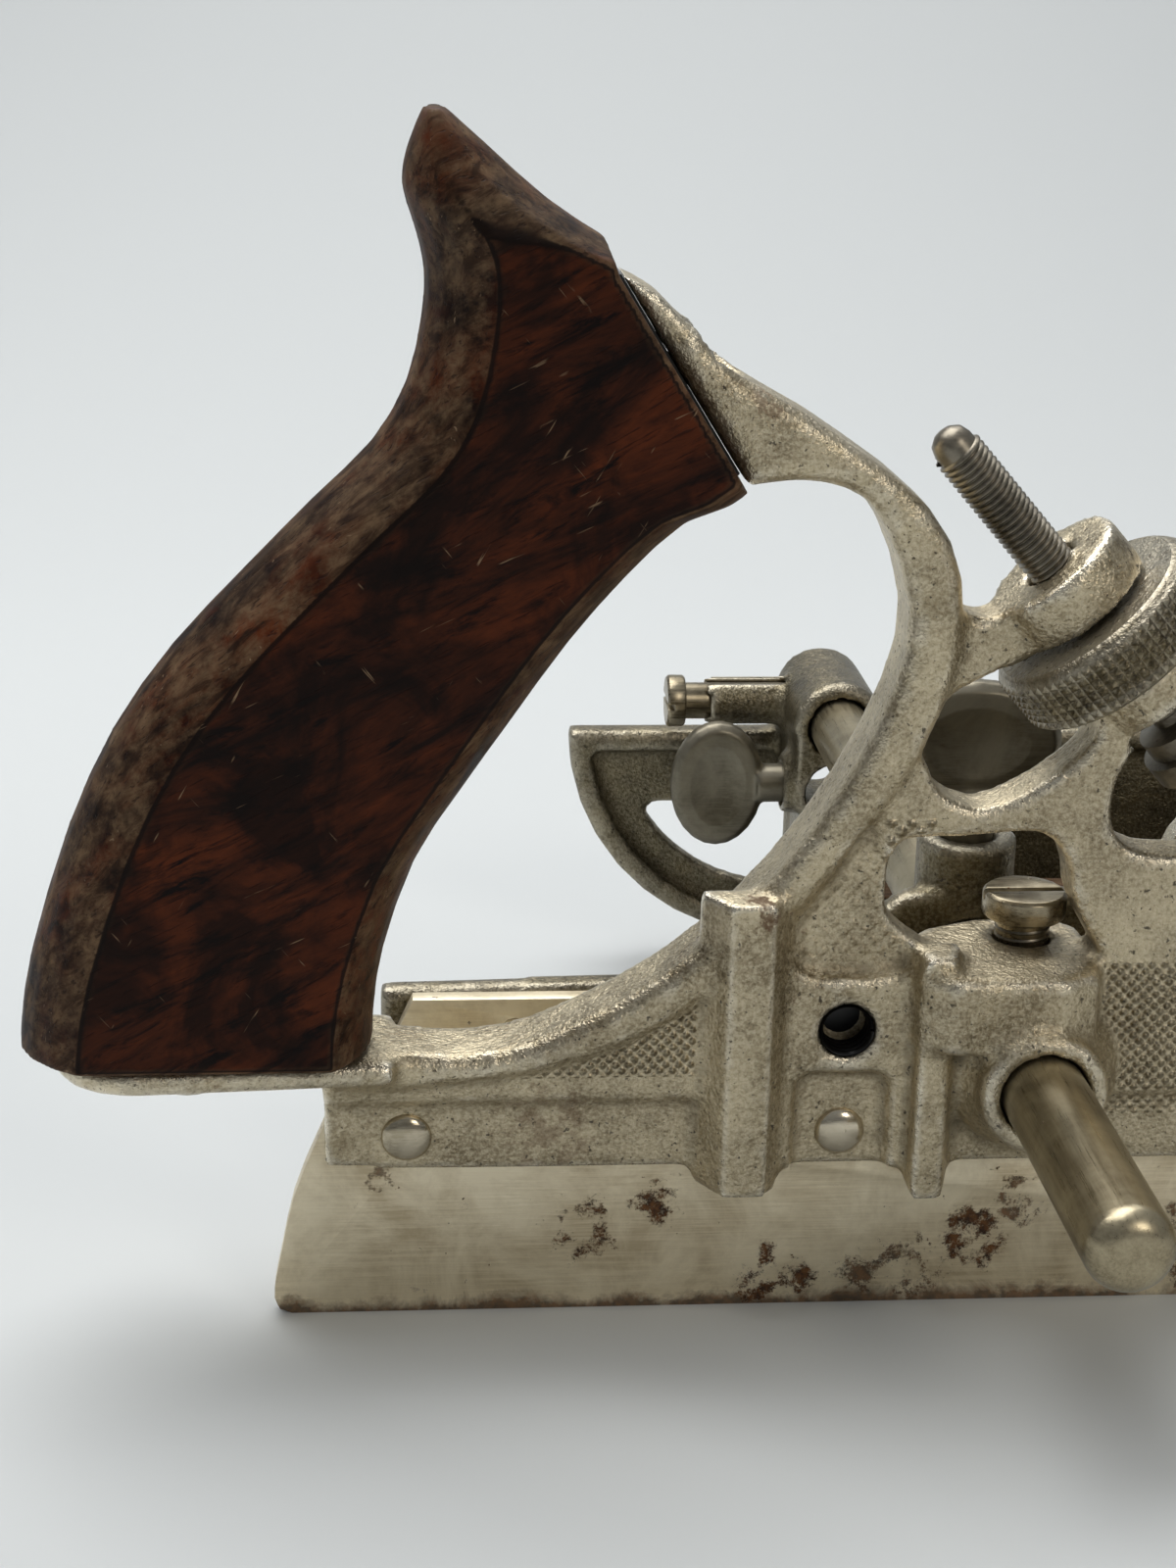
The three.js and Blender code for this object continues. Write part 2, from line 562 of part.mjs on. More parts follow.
// A thumbscrew: a thin oval head whose plane holds the screw's own axis.
function thumbscrew(from, axis, shank, { radius = THUMB_RADIUS, across = 24, along = 16.8,
  thick = 4.4 } = {}) {
  const stem = rod([0, 0, 0], AXES.y, shank + 1.5, radius, 20);
  const oval = prism(ellipse(across / 2, along / 2, 24), 'xy', -thick / 2, thick / 2, 1.2);
  const geometry = geometryOf(join(stem, oval.translate([0, shank + along / 2, 0])));
  const normal = Math.abs(axis.y) > 0.5 ? AXES.x : AXES.y;
  const width = new THREE.Vector3().crossVectors(axis, normal);
  geometry.applyMatrix4(new THREE.Matrix4().makeBasis(width, axis, normal));
  geometry.translate(...from);
  return solid(geometry);
}

function arms() {
  for (const end of ENDS) {
    const x = ARM_X[end];
    add(`${end}_arm`, arm(x), STEEL);
    add(`${end}_clamp_screw`, slottedScrew([x, CLAMP_Y, ARM_HEIGHT + ARM_RADIUS + GAP], AXES.z,
      PAD_TOP + 2.6 - ARM_HEIGHT - ARM_RADIUS - GAP), POLISHED);
  }
}

// -------------------------------------------------------------------- cutter

// The cutter with its edge at the sole, and a notch that takes the collar.
function cutter() {
  const front = CUTTER_OFFSET + CUTTER_THICKNESS;
  const bevel = 4.6;
  const outline = [onScrewXZ(CUTTER_TOP, CUTTER_OFFSET), onScrewXZ(CUTTER_EDGE - bevel, CUTTER_OFFSET),
    onScrewXZ(CUTTER_EDGE, front), onScrewXZ(CUTTER_TOP, front)];
  const iron = prism(outline, 'xz', CUTTER_NEAR, CUTTER_NEAR + CUTTER_WIDTH);
  return cut(iron, rod(onScrew(48.2), FEED, 4.4, 6.9, 24));
}

// A threaded screw with a rounded tip and a collar that moves the cutter.
const adjustingScrew = () => turned([[0, 0], [1.8, 0.5], [2.8, 1.8], [SCREW_RADIUS, 3], [SCREW_RADIUS, 46],
  [5.2, 46], [5.2, 48.6], [6.4, 48.6], [6.4, 52], [0, 52]], onScrew(0), FEED, 24);

function adjustingWheel() {
  const length = WHEEL_TO - WHEEL_FROM;
  const bore = SCREW_RADIUS + GAP;
  return turned([[bore, 0], [10.5, 0], [WHEEL_RADIUS, 1.6], [WHEEL_RADIUS, length - 2.2],
    [11, length], [bore, length], [bore, 0]], onScrew(WHEEL_FROM), FEED, 28);
}

function cutterClamp() {
  const [x, , z] = CUTTER_BOLT;
  const clipOutline = [onScrewXZ(76, 9.3), onScrewXZ(100, 9.3), onScrewXZ(100, 12.5),
    onScrewXZ(94, 21.5), onScrewXZ(82, 21.5), onScrewXZ(76, 12.5)];
  const clip = cut(prism(clipOutline, 'xz', 1, 21, 0.8), rod([x, -5, z], AXES.y, 40, BOLT_RADIUS + GAP,
    20));
  add('cutter_clip', clip, NICKEL);
  const bolt = turned([[0, 0], [BOLT_RADIUS, 0], [BOLT_RADIUS, 37.3], [6, 37.3], [6, 41], [0, 41]],
    [x, -16, z], AXES.y, 24);
  add('cutter_bolt', bolt, THREAD_STEEL);
  const hub = turned([[BOLT_RADIUS + GAP, 0], [5.6, 0], [4.8, 6.5], [BOLT_RADIUS + GAP, 6.5],
    [BOLT_RADIUS + GAP, 0]], [x, -7.3, z], AXES.y.clone().negate(), 24);
  const wing = (side) => prism(ellipse(4.6, 4, 16, x + side * 8.4, z), 'xz', -15.5, -8.5, 0.6)
    .add(block([x + Math.min(side * 4.9, side * 7), x + Math.max(side * 4.9, side * 7)], [-12, -8.6],
      [z - 1.6, z + 1.6]));
  add('cutter_wing_nut', join(hub, wing(1), wing(-1)), NICKEL);
}

function cutterParts() {
  add('cutter', cutter(), STEEL);
  add('adjusting_screw', adjustingScrew(), THREAD_STEEL);
  add('adjusting_wheel', adjustingWheel(), NICKEL);
  cutterClamp();
}

// --------------------------------------------------------------- depth gauge

function depthGauge() {
  const shoe = prism([[DEPTH_X - 30, -13.6], [DEPTH_X + 22, -13.6], [DEPTH_X + 25, -10.5],
    [DEPTH_X + 25, -3.5], [DEPTH_X - 32, -3.5], [DEPTH_X - 32, -11]], 'xy', 12, 16, 0.8);
  const post = rod([DEPTH_X, DEPTH_Y, 15], AXES.z, 57, 3, 20);
  add('depth_gauge', join(shoe, post), NICKEL);
  const nutBore = 3 + GAP;
  add('depth_nut', turned([[nutBore, 0], [6.2, 0], [6.8, 0.6], [6.8, 5.6], [6.2, 6.2], [nutBore, 6.2],
    [nutBore, 0]], [DEPTH_X, DEPTH_Y, 43.9], AXES.z, 24), NICKEL);
  add('depth_thumbscrew', thumbscrew([DEPTH_X, DEPTH_Y - 3 - GAP, 38.6], AXES.y.clone().negate(), 8,
    { radius: 2.5, across: 18, along: 13, thick: 3.6 }), NICKEL);
}

// ----------------------------------------------------------- sliding section

function sectionStock() {
  const throat = smooth([[bedX(20.5, BED_RISE), FLANGE.low], [66, 30], [80, 37], [98, 34],
    [108, 27], [110, FLANGE.low]], 12);
  const outline = [
    [-80, FLANGE.low], [-80, 30], [-30, 31], [-16, 38], [-9, 43], [30, 43], [38, 48], [46, 46],
    [70, 45], [104, 45], [130, 43], [150, 36], [160, 30], [160, FLANGE.low], ...throat.reverse(),
  ];
  const wall = prism(outline.reverse(), 'xz', SECTION_WALL.near, SECTION_WALL.far);
  const bosses = ENDS.map((end) => join(
    turned([[0, 0], [9, 0], [9, 10], [8.2, 13], [0, 13]], [ARM_X[end], SECTION_WALL.near, ARM_HEIGHT],
      AXES.y, 28),
    turned([[0, 0], [6.8, 0], [6.8, 9.4], [6.2, 10], [0, 10]],
      [ARM_X[end], SECTION_SCREW_Y, SECTION_BOSS_TOP - 10], AXES.z, 24),
  ));
  const stud = rod([STOP_X, SECTION_WALL.near, STOP_Z], AXES.y, 18, 2, 16);
  const bores = ENDS.flatMap((end) => [
    armBore(ARM_X[end]),
    rod([ARM_X[end], SECTION_SCREW_Y, ARM_HEIGHT], AXES.z, 30, THUMB_RADIUS + GAP, 20),
  ]);
  const rivets = rivetHoles([...SECTION_RIVETS.rear, ...SECTION_RIVETS.front], SECTION_SKATE_Y);
  return cut(join(wall, ...bosses, stud), ...bores, ...rivets);
}

function slidingSection() {
  add('section_stock', sectionStock(), NICKEL);
  [...SECTION_RIVETS.rear, ...SECTION_RIVETS.front].forEach((x, i) => {
    const body = turned([[0, -1.4], [1.7, -1.2], [2.9, -0.5], [3.3, 0.1 - GAP], [1.8, 0.1 - GAP],
      [1.8, 7], [0, 7]], [x, SECTION_WALL.far, RIVET_Z], AXES.y.clone().negate(), 10);
    add(`section_rivet_${i + 1}`, body, POLISHED);
  });
  for (const end of ENDS) {
    const foot = ARM_HEIGHT + ARM_RADIUS + GAP;
    add(`section_${end}_thumbscrew`, thumbscrew([ARM_X[end], SECTION_SCREW_Y, foot], AXES.z,
      54.7 - foot), NICKEL);
  }
  const bar = prism([[STOP_X - 8, 8], [STOP_X + 8, 8], [STOP_X + 8, 12], [STOP_X + 4, 14],
    [STOP_X + 4, 56], [STOP_X - 4, 56], [STOP_X - 4, 14], [STOP_X - 8, 12]], 'xz', 35, 39);
  const slot = block([STOP_X - 2.5, STOP_X + 2.5], [30, 45], [34.4, 53.4]);
  add('bead_stop', cut(bar, slot), NICKEL);
  add('bead_stop_nut', turned([[2 + GAP, 0], [7, 0], [9.3, 1.4], [9.3, 5.2], [8.2, 6.4], [2 + GAP, 6.4],
    [2 + GAP, 0]], [STOP_X, 39.4, STOP_Z], AXES.y, 24), NICKEL);
}

// --------------------------------------------------------------------- fence

// One quadrant end of the fence, from its centre out to a radius.
const quadrant = (centre, side, radius, count = 9, start = 0) =>
  Array.from({ length: count + 1 }, (_, i) => {
    const angle = start + (Math.PI / 2 - start) * (i / count);
    return [centre + side * radius * Math.cos(angle), FENCE.top - radius * Math.sin(angle)];
  });

function fencePlate() {
  const outer = [...quadrant(FENCE_CENTRE.rear, -1, FENCE.radius),
    ...quadrant(FENCE_CENTRE.front, 1, FENCE.radius).reverse()];
  const rim = [...quadrant(FENCE_CENTRE.rear, -1, FENCE.radius - 4).map(([x, z]) => [x, Math.min(z,
    FENCE.top - 4)]),
    ...quadrant(FENCE_CENTRE.front, 1, FENCE.radius - 4).map(([x, z]) => [x, Math.min(z,
      FENCE.top - 4)]).reverse()];
  const recess = prism(rim, 'xz', FENCE.near - 1, FENCE.web);
  const windows = ENDS.map((end) => {
    const side = end === 'rear' ? -1 : 1;
    const start = Math.asin((FENCE.top - FENCE_WINDOW.top) / FENCE_WINDOW.radius);
    const arc = quadrant(FENCE_CENTRE[end], side, FENCE_WINDOW.radius, 8, start);
    return prism([...arc, [FENCE_CENTRE[end], FENCE_WINDOW.top]], 'xz', FENCE.near - 2, FENCE.far + 1);
  });
  return cut(prism(outer, 'xz', FENCE.near, FENCE.far, 0.8), recess, ...windows);
}

function fenceTower(end) {
  const x = ARM_X[end];
  const side = end === 'rear' ? -1 : 1;
  const upper = turned([[0, 0], [7.4, 0], [8.2, 0.8], [8.2, 25.5], [0, 25.5]], [x, TOWER_NEAR,
    ARM_HEIGHT], AXES.y, 20);
  const lower = turned([[0, 0], [7, 0], [7.8, 0.8], [7.8, 25.5], [0, 25.5]], [x, TOWER_NEAR,
    LOWER_BORE_Z], AXES.y, 20);
  const middle = block([x - 7.6, x + 7.6], [TOWER_NEAR, FENCE.far], [LOWER_BORE_Z, ARM_HEIGHT]);
  const column = block([x - 5, x + 5], [TOWER_NEAR + 2, FENCE.far], [FENCE.low + 2, LOWER_BORE_Z]);
  const out = AXES.x.clone().multiplyScalar(side);
  const barrel = turned([[0, 0], [4.5, 0], [4.5, 21.6], [4, 22], [0, 22]], [x, FENCE_SCREW_Y,
    ARM_HEIGHT], out, 24);
  const collar = rod([x, FENCE_THUMB_Y, LOWER_BORE_Z], out, 9.5, 5.4, 24);
  return join(upper, lower, middle, column, barrel, collar);
}

function fenceCasting() {
  const base = block([-2, 120], [128, FENCE.far], [FENCE.low, FENCE.low + 5]);
  const pad = block([2, 116], [128, 131], [FENCE.low, 6]);
  const seat = turned([[0, 0], [9, 0], [13, 6], [13, 11], [0, 11]], [KNOB_X, KNOB_Y, 17], AXES.z, 32);
  const bracket = block([KNOB_X - 9, KNOB_X + 9], [KNOB_Y, FENCE.far], [FENCE.top - 12, FENCE.top]);
  const bores = ENDS.flatMap((end) => {
    const out = AXES.x.clone().multiplyScalar(end === 'rear' ? -1 : 1);
    return [
      armBore(ARM_X[end]),
      rod([ARM_X[end], TOWER_NEAR - 5, LOWER_BORE_Z], AXES.y, 60, ARM_BORE, 24),
      rod([ARM_X[end], FENCE_SCREW_Y, ARM_HEIGHT], out, 40, CLAMP_RADIUS + GAP, 20),
      rod([ARM_X[end], FENCE_THUMB_Y, LOWER_BORE_Z], out, 40, THUMB_RADIUS + GAP, 20),
    ];
  });
  const faceHoles = FACE_SCREWS.map((x) => rod([x, 110, -3], AXES.y, 30, 2 + GAP, 12));
  const knobHole = rod([KNOB_X, KNOB_Y, 10], AXES.z, 30, 2.5 + GAP, 16);
  return cut(join(fencePlate(), ...ENDS.map(fenceTower), base, pad, seat, bracket),
    ...bores, ...faceHoles, knobHole);
}

function fenceFace() {
  const outline = [[WOOD_FACE.near, WOOD_FACE.low], [WOOD_FACE.far, WOOD_FACE.low],
    [WOOD_FACE.far, WOOD_FACE.top], [WOOD_FACE.near, WOOD_FACE.top]];
  const board = prism(outline, 'yz', WOOD_FACE.rear, WOOD_FACE.front, 1);
  const holes = FACE_SCREWS.map((x) => turned([[0, -5], [4.3, -5], [4.3, 1.6], [2.3, 4], [2.3, 20], [0,
    20]],
    [x, WOOD_FACE.near, -3], AXES.y, 16));
  return cut(board, ...holes);
}

function fenceParts() {
  add('fence_casting', fenceCasting(), NICKEL);
  add('fence_face', fenceFace(), ROSEWOOD);
  FACE_SCREWS.forEach((x, i) => {
    add(`fence_face_screw_${i + 1}`, turned([[0, 0.4], [4, 0.4], [4, 1.3], [2, 3.7], [2, 11.5], [0, 11.5]],
      [x, WOOD_FACE.near, -3], AXES.y, 16), STEEL);
  });
  for (const end of ENDS) {
    const side = end === 'rear' ? -1 : 1;
    const out = AXES.x.clone().multiplyScalar(side);
    const foot = ARM_X[end] + side * (ARM_RADIUS + GAP);
    add(`fence_${end}_clamp_screw`, slottedScrew([foot, FENCE_SCREW_Y, ARM_HEIGHT], out, 20.3, 4.7),
      POLISHED);
    add(`fence_${end}_thumbscrew`, thumbscrew([foot, FENCE_THUMB_Y, LOWER_BORE_Z], out, 6.8,
      { across: 23 }), NICKEL);
  }
  add('fence_knob', fenceKnob(), ROSEWOOD);
  add('fence_knob_bolt', turned([[0, 0], [2.5, 0], [2.5, 57], [5, 57], [5, 59], [0, 60]],
    [KNOB_X, KNOB_Y, 16.5], AXES.z, 20), POLISHED);
}

function fenceKnob() {
  const profile = smooth([[14, 0.6], [13.2, 4], [9, 11], [8.6, 17], [12.5, 26], [15.4, 34], [14, 41],
    [7, 44.6]], 10);
  const bore = 2.5 + GAP;
  return turned([[bore, 0], [13.4, 0], ...profile, [bore, 44.8], [bore, 0]],
    [KNOB_X, KNOB_Y, 28.3], AXES.z, 20);
}

// ---------------------------------------------------------------- everything

add('main_stock', mainStock(), NICKEL);
add('grip', grip(), ROSEWOOD);
add('grip_foot_screw', gripScrew(), STEEL);
add('grip_horn_screw', hornScrew(), STEEL);
skates();
mainRivets();
arms();
cutterParts();
depthGauge();
slidingSection();
fenceParts();

export default plane;
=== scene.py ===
# %% [markdown]
# # A combination plough plane
# The metal body, its moving parts and its sizes are already made as a frame of
# solids. This lesson gives them their real surfaces: cast corners, threads,
# knurling, dished thumbscrews, worn nickel plate, rusty steel and rosewood.
# We load the frame, keep its overall box, and work in metres from here on.

# %% Load the frame
import json
import math

import bpy
import bmesh
from mathutils import Matrix, Vector

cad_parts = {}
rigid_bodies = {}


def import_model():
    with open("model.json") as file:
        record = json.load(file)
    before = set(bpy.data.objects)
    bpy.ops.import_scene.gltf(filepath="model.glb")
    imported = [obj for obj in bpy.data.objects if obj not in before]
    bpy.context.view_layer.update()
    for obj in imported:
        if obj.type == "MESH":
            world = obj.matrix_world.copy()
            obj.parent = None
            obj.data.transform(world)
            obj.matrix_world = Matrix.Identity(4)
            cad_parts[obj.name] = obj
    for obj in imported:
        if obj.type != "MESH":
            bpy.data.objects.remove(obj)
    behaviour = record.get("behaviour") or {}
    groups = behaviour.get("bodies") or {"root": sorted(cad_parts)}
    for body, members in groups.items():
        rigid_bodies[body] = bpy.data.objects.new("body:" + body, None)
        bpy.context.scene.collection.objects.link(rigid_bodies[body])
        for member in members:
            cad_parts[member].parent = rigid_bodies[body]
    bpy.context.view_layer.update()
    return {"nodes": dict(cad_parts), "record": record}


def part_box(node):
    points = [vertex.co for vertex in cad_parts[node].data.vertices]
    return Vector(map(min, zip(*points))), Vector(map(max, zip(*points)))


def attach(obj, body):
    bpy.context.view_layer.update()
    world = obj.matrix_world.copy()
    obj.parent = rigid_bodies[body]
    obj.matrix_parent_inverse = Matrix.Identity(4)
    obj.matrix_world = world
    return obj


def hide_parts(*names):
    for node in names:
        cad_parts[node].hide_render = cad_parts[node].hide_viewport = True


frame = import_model()
MM = 0.001
BODY_OF = {node: body for body, nodes in frame["record"]["behaviour"]["bodies"].items() for node in nodes}
SLOT_OF = {row["node"]: row["material_slot"] for row in frame["record"]["subparts"]}

# %% [markdown]
# ## Colours and nodes
# A colour picked on screen is in sRGB, while the shader works in linear light,
# so one function turns a hex value into linear numbers. A second small function
# adds a node, sets it up and links it, so each material below reads as a recipe.

# %% Two helpers for materials
def colour(hex_value):
    parts = [int(hex_value[i:i + 2], 16) / 255 for i in (1, 3, 5)]
    return [c / 12.92 if c <= 0.04045 else ((c + 0.055) / 1.055) ** 2.4 for c in parts] + [1.0]


def add_node(material, kind, settings=None, **inputs):
    node = material.node_tree.nodes.new("ShaderNode" + kind)
    for key, value in (settings or {}).items():
        setattr(node, key, value)
    for key, value in inputs.items():
        socket = node.inputs[int(key[1:]) if key[0] == "_" else key.replace("_", " ")]
        if isinstance(value, bpy.types.NodeSocket):
            material.node_tree.links.new(value, socket)
        else:
            socket.default_value = value
    return node


def new_finish(name, **inputs):
    material = bpy.data.materials.new(name)
    material.use_nodes = True
    shader = material.node_tree.nodes["Principled BSDF"]
    for key, value in inputs.items():
        shader.inputs[key.replace("_", " ")].default_value = value
    return material, shader


# %% [markdown]
# Patterns are sized in millimetres: object coordinates are divided by a
# thousandth, so a noise scale of 1 has features about a millimetre across. A
# Mapping node of the texture kind turns the pattern before it stretches it, so
# grain and scratches can be drawn out along any slope.

# %% Millimetre patterns
def millimetres(m, stretch=(1, 1, 1), turn=(0, 0, 0)):
    coordinates = add_node(m, "TexCoord").outputs["Object"]
    scale = [MM / s for s in stretch]
    return add_node(m, "Mapping", dict(vector_type="TEXTURE"), Vector=coordinates, Scale=scale,
                    Rotation=turn).outputs["Vector"]


def noise(m, where, size, detail=4, rough=0.6, distort=0):
    return add_node(m, "TexNoise", Vector=where, Scale=1 / size, Detail=detail,
                    Roughness=rough, Distortion=distort).outputs["Fac"]


def fade(m, value, low, high, to_low=0.0, to_high=1.0):
    return add_node(m, "MapRange", dict(clamp=True), Value=value, From_Min=low, From_Max=high,
                    To_Min=to_low, To_Max=to_high).outputs["Result"]


def maths(m, operation, a, b=0.0):
    return add_node(m, "Math", dict(operation=operation), _0=a, _1=b).outputs[0]


def blend_colour(m, amount, under, over):
    node = add_node(m, "Mix", dict(data_type="RGBA"), _0=amount)
    for index, value in ((6, under), (7, over)):
        if isinstance(value, bpy.types.NodeSocket):
            m.node_tree.links.new(value, node.inputs[index])
        else:
            node.inputs[index].default_value = colour(value)
    return node.outputs[2]


def blend_value(m, amount, under, over):
    return add_node(m, "Mix", dict(data_type="FLOAT"), _0=amount, _2=under, _3=over).outputs[0]


def swing(m, pattern, width):
    """A pattern between zero and one, made to swing by this width round zero."""
    return maths(m, "MULTIPLY", maths(m, "SUBTRACT", pattern, 0.5), width)


def facing_sideways(m):
    """How far the surface looks along Y: minus one or one on a flat cheek."""
    return add_node(m, "SeparateXYZ", Vector=add_node(m, "NewGeometry").outputs["Normal"]).outputs["Y"]


def spot(m, where, centre, radius):
    """One inside a ball around a place in millimetres, fading to zero."""
    away = add_node(m, "VectorMath", dict(operation="DISTANCE"), _0=where, _1=centre).outputs["Value"]
    return fade(m, away, radius, radius * 0.35)


def ragged_patch(m, where, centre, radius, share):
    """Islands of rust, close together in the middle and far apart at the rim."""
    near = maths(m, "MULTIPLY", spot(m, where, centre, radius * 1.5), 0.25)
    islands = maths(m, "ADD", near, noise(m, where, 3.6, 9, 0.8))
    return maths(m, "MULTIPLY", fade(m, islands, 0.735, 0.80), share)


def bump(m, shader, height, distance, strength=1.0, under=None):
    node = add_node(m, "Bump", Height=height, Distance=distance * MM, Strength=strength)
    if under:
        m.node_tree.links.new(under, node.inputs["Normal"])
    m.node_tree.links.new(node.outputs["Normal"], shader.inputs["Normal"])
    return node.outputs["Normal"]


# %% [markdown]
# ## Nickel plate on cast iron
# The stock was cast in sand, so its skin is grainy, and the nickel plate takes
# that grain: it looks like coarse warm-grey metal, never like a mirror. Hands
# have polished every edge smoother, and every edge and the tops of the grain are
# also painted lighter as a painted highlight and glint. Oil and dust went brown
# in the corners and black in the pores. Pointiness tells edges from corners, and
# noise breaks both up. The recessed panels have a checkered skin, drawn by two
# crossed waves.

# %% Cast nickel
BANDS_PER_UNIT = 0.314  # a Wave texture of scale 0.314 repeats once in a unit


def cast_nickel(name, rust_places=(), panels=(), dark="#8c7f66", light="#c7b99b", polish_and_painted_glint=1.0):
    m, shader = new_finish(name, Metallic=0.9)
    link = m.node_tree.links.new
    where = millimetres(m)
    clouds = noise(m, where, 9, 5, 0.65)
    grain = noise(m, where, 0.6, 3, 0.75)
    lumps = noise(m, where, 2.6, 3)
    pores = fade(m, noise(m, where, 0.8, 3, 0.6), 0.64, 0.69)
    sharp = add_node(m, "NewGeometry").outputs["Pointiness"]
    roughened = maths(m, "ADD", sharp, swing(m, lumps, 0.06))
    # Edge: real polish, which lowers the roughness, plus a painted highlight that lightens every edge.
    edge = maths(m, "MULTIPLY", fade(m, roughened, 0.515, 0.56), polish_and_painted_glint)
    corner = fade(m, roughened, 0.492, 0.445)
    base = blend_colour(m, fade(m, clouds, 0.35, 0.65), dark, light)
    # Painted glint: the tops of the grain are painted lighter, as if catching light.
    painted_grain_glint = maths(m, "MULTIPLY", fade(m, grain, 0.44, 0.62), 0.55 * polish_and_painted_glint)
    base = blend_colour(m, painted_grain_glint, base, "#dfd4b9")
    base = blend_colour(m, edge, base, "#e6decb")
    grime = maths(m, "MULTIPLY", corner, fade(m, clouds, 0.25, 0.6))
    base = blend_colour(m, maths(m, "MULTIPLY", grime, 0.75), base, "#4a3f26")
    stain = maths(m, "MULTIPLY", fade(m, noise(m, where, 16, 6, 0.7, 0.6), 0.60, 0.74), 0.5)
    base = blend_colour(m, stain, base, "#6b5a38")
    rust = maths(m, "MULTIPLY", fade(m, noise(m, where, 3.4, 6, 0.75), 0.66, 0.74), 0.7)
    for centre, radius, share in rust_places:
        rust = maths(m, "MAXIMUM", rust, ragged_patch(m, where, centre, radius, share))
    base = blend_colour(m, rust, base, "#5a3616")
    base = blend_colour(m, maths(m, "MULTIPLY", fade(m, grain, 0.42, 0.34), 0.35), base, "#453a27")
    base = blend_colour(m, maths(m, "MULTIPLY", pores, 0.8), base, "#27221b")
    dirt = maths(m, "MAXIMUM", maths(m, "MAXIMUM", rust, grime), pores)
    link(base, shader.inputs["Base Color"])
    link(blend_value(m, dirt, 0.9, 0.25), shader.inputs["Metallic"])
    rough = blend_value(m, edge, fade(m, grain, 0.3, 0.7, 0.28, 0.46), 0.22)
    link(blend_value(m, dirt, rough, 0.8), shader.inputs["Roughness"])
    normal = bump(m, shader, lumps, 0.40, 0.8)
    normal = bump(m, shader, noise(m, where, 0.42, 2, 0.6), 0.16, 1.0, normal)
    for low, high, spacing in panels:
        squares = millimetres(m, turn=(0, math.radians(45), 0))
        ridges = [add_node(m, "TexWave", dict(bands_direction=axis, wave_profile="SIN"),
                           Vector=squares, Scale=BANDS_PER_UNIT / spacing, Distortion=0.6,
                           Detail=1.0, Detail_Scale=1.5).outputs["Fac"] for axis in "XZ"]
        studs = maths(m, "MULTIPLY", *ridges)
        inside = fade(m, facing_sideways(m), -0.90, -0.97)
        axes = add_node(m, "SeparateXYZ", Vector=where).outputs
        for axis, (a, b) in enumerate(zip(low, high)):
            inside = maths(m, "MULTIPLY", inside, fade(m, axes[axis], a - 0.6, a))
            inside = maths(m, "MULTIPLY", inside, fade(m, axes[axis], b + 0.6, b))
        normal = bump(m, shader, maths(m, "MULTIPLY", studs, inside), 0.5, 1.0, normal)
    return m


# Each place is a centre in millimetres, a radius and a strength.
STOCK_RUST = (((-34, -6, 56), 3.5, 0.75), ((-36, -5, 118), 5, 0.5), ((-60, -4, 26), 9, 0.35),
              ((-100, 0, 36), 14, 0.35))
# Each panel is its lower and upper corner and the spacing of its studs.
PANELS = (
    ((-84, -4.8, 34), (-42, -3.4, 62), 1.1),
    ((6.1, -4.8, 27.5), (104, -3.4, 47.5), 1.1),
    ((-33, -4.8, 48.5), (-14, -3.4, 66), 1.7),
)
stock_nickel = cast_nickel("nickel plated casting, stock", STOCK_RUST, PANELS)
plain_nickel = cast_nickel("nickel plated casting", dark="#80765f", light="#aca083")
# Painted shade: the fence and the section stock sit in shade, so this nickel is painted darker.
shade_darkened_nickel = cast_nickel("tarnished nickel plate", dark="#4b4434", light="#746b54", polish_and_painted_glint=0.35)
# The wheel is oily, and its nickel is also painted darker as painted shade.
oily_shaded_wheel_nickel = cast_nickel("oily nickel plate, wheel", dark="#3f3728", light="#6d6249", polish_and_painted_glint=0.4)

# %% [markdown]
# ## Steel that was rolled, ground and left to rust
# The skates are flat ground steel: long scratches run from heel to toe, and
# rust sits in brown islands that join up along the sole. The arms are smooth
# round bar with a brown tint. The screw heads were polished, and the threads
# hold dark oil. One recipe with a few choices makes all of them.

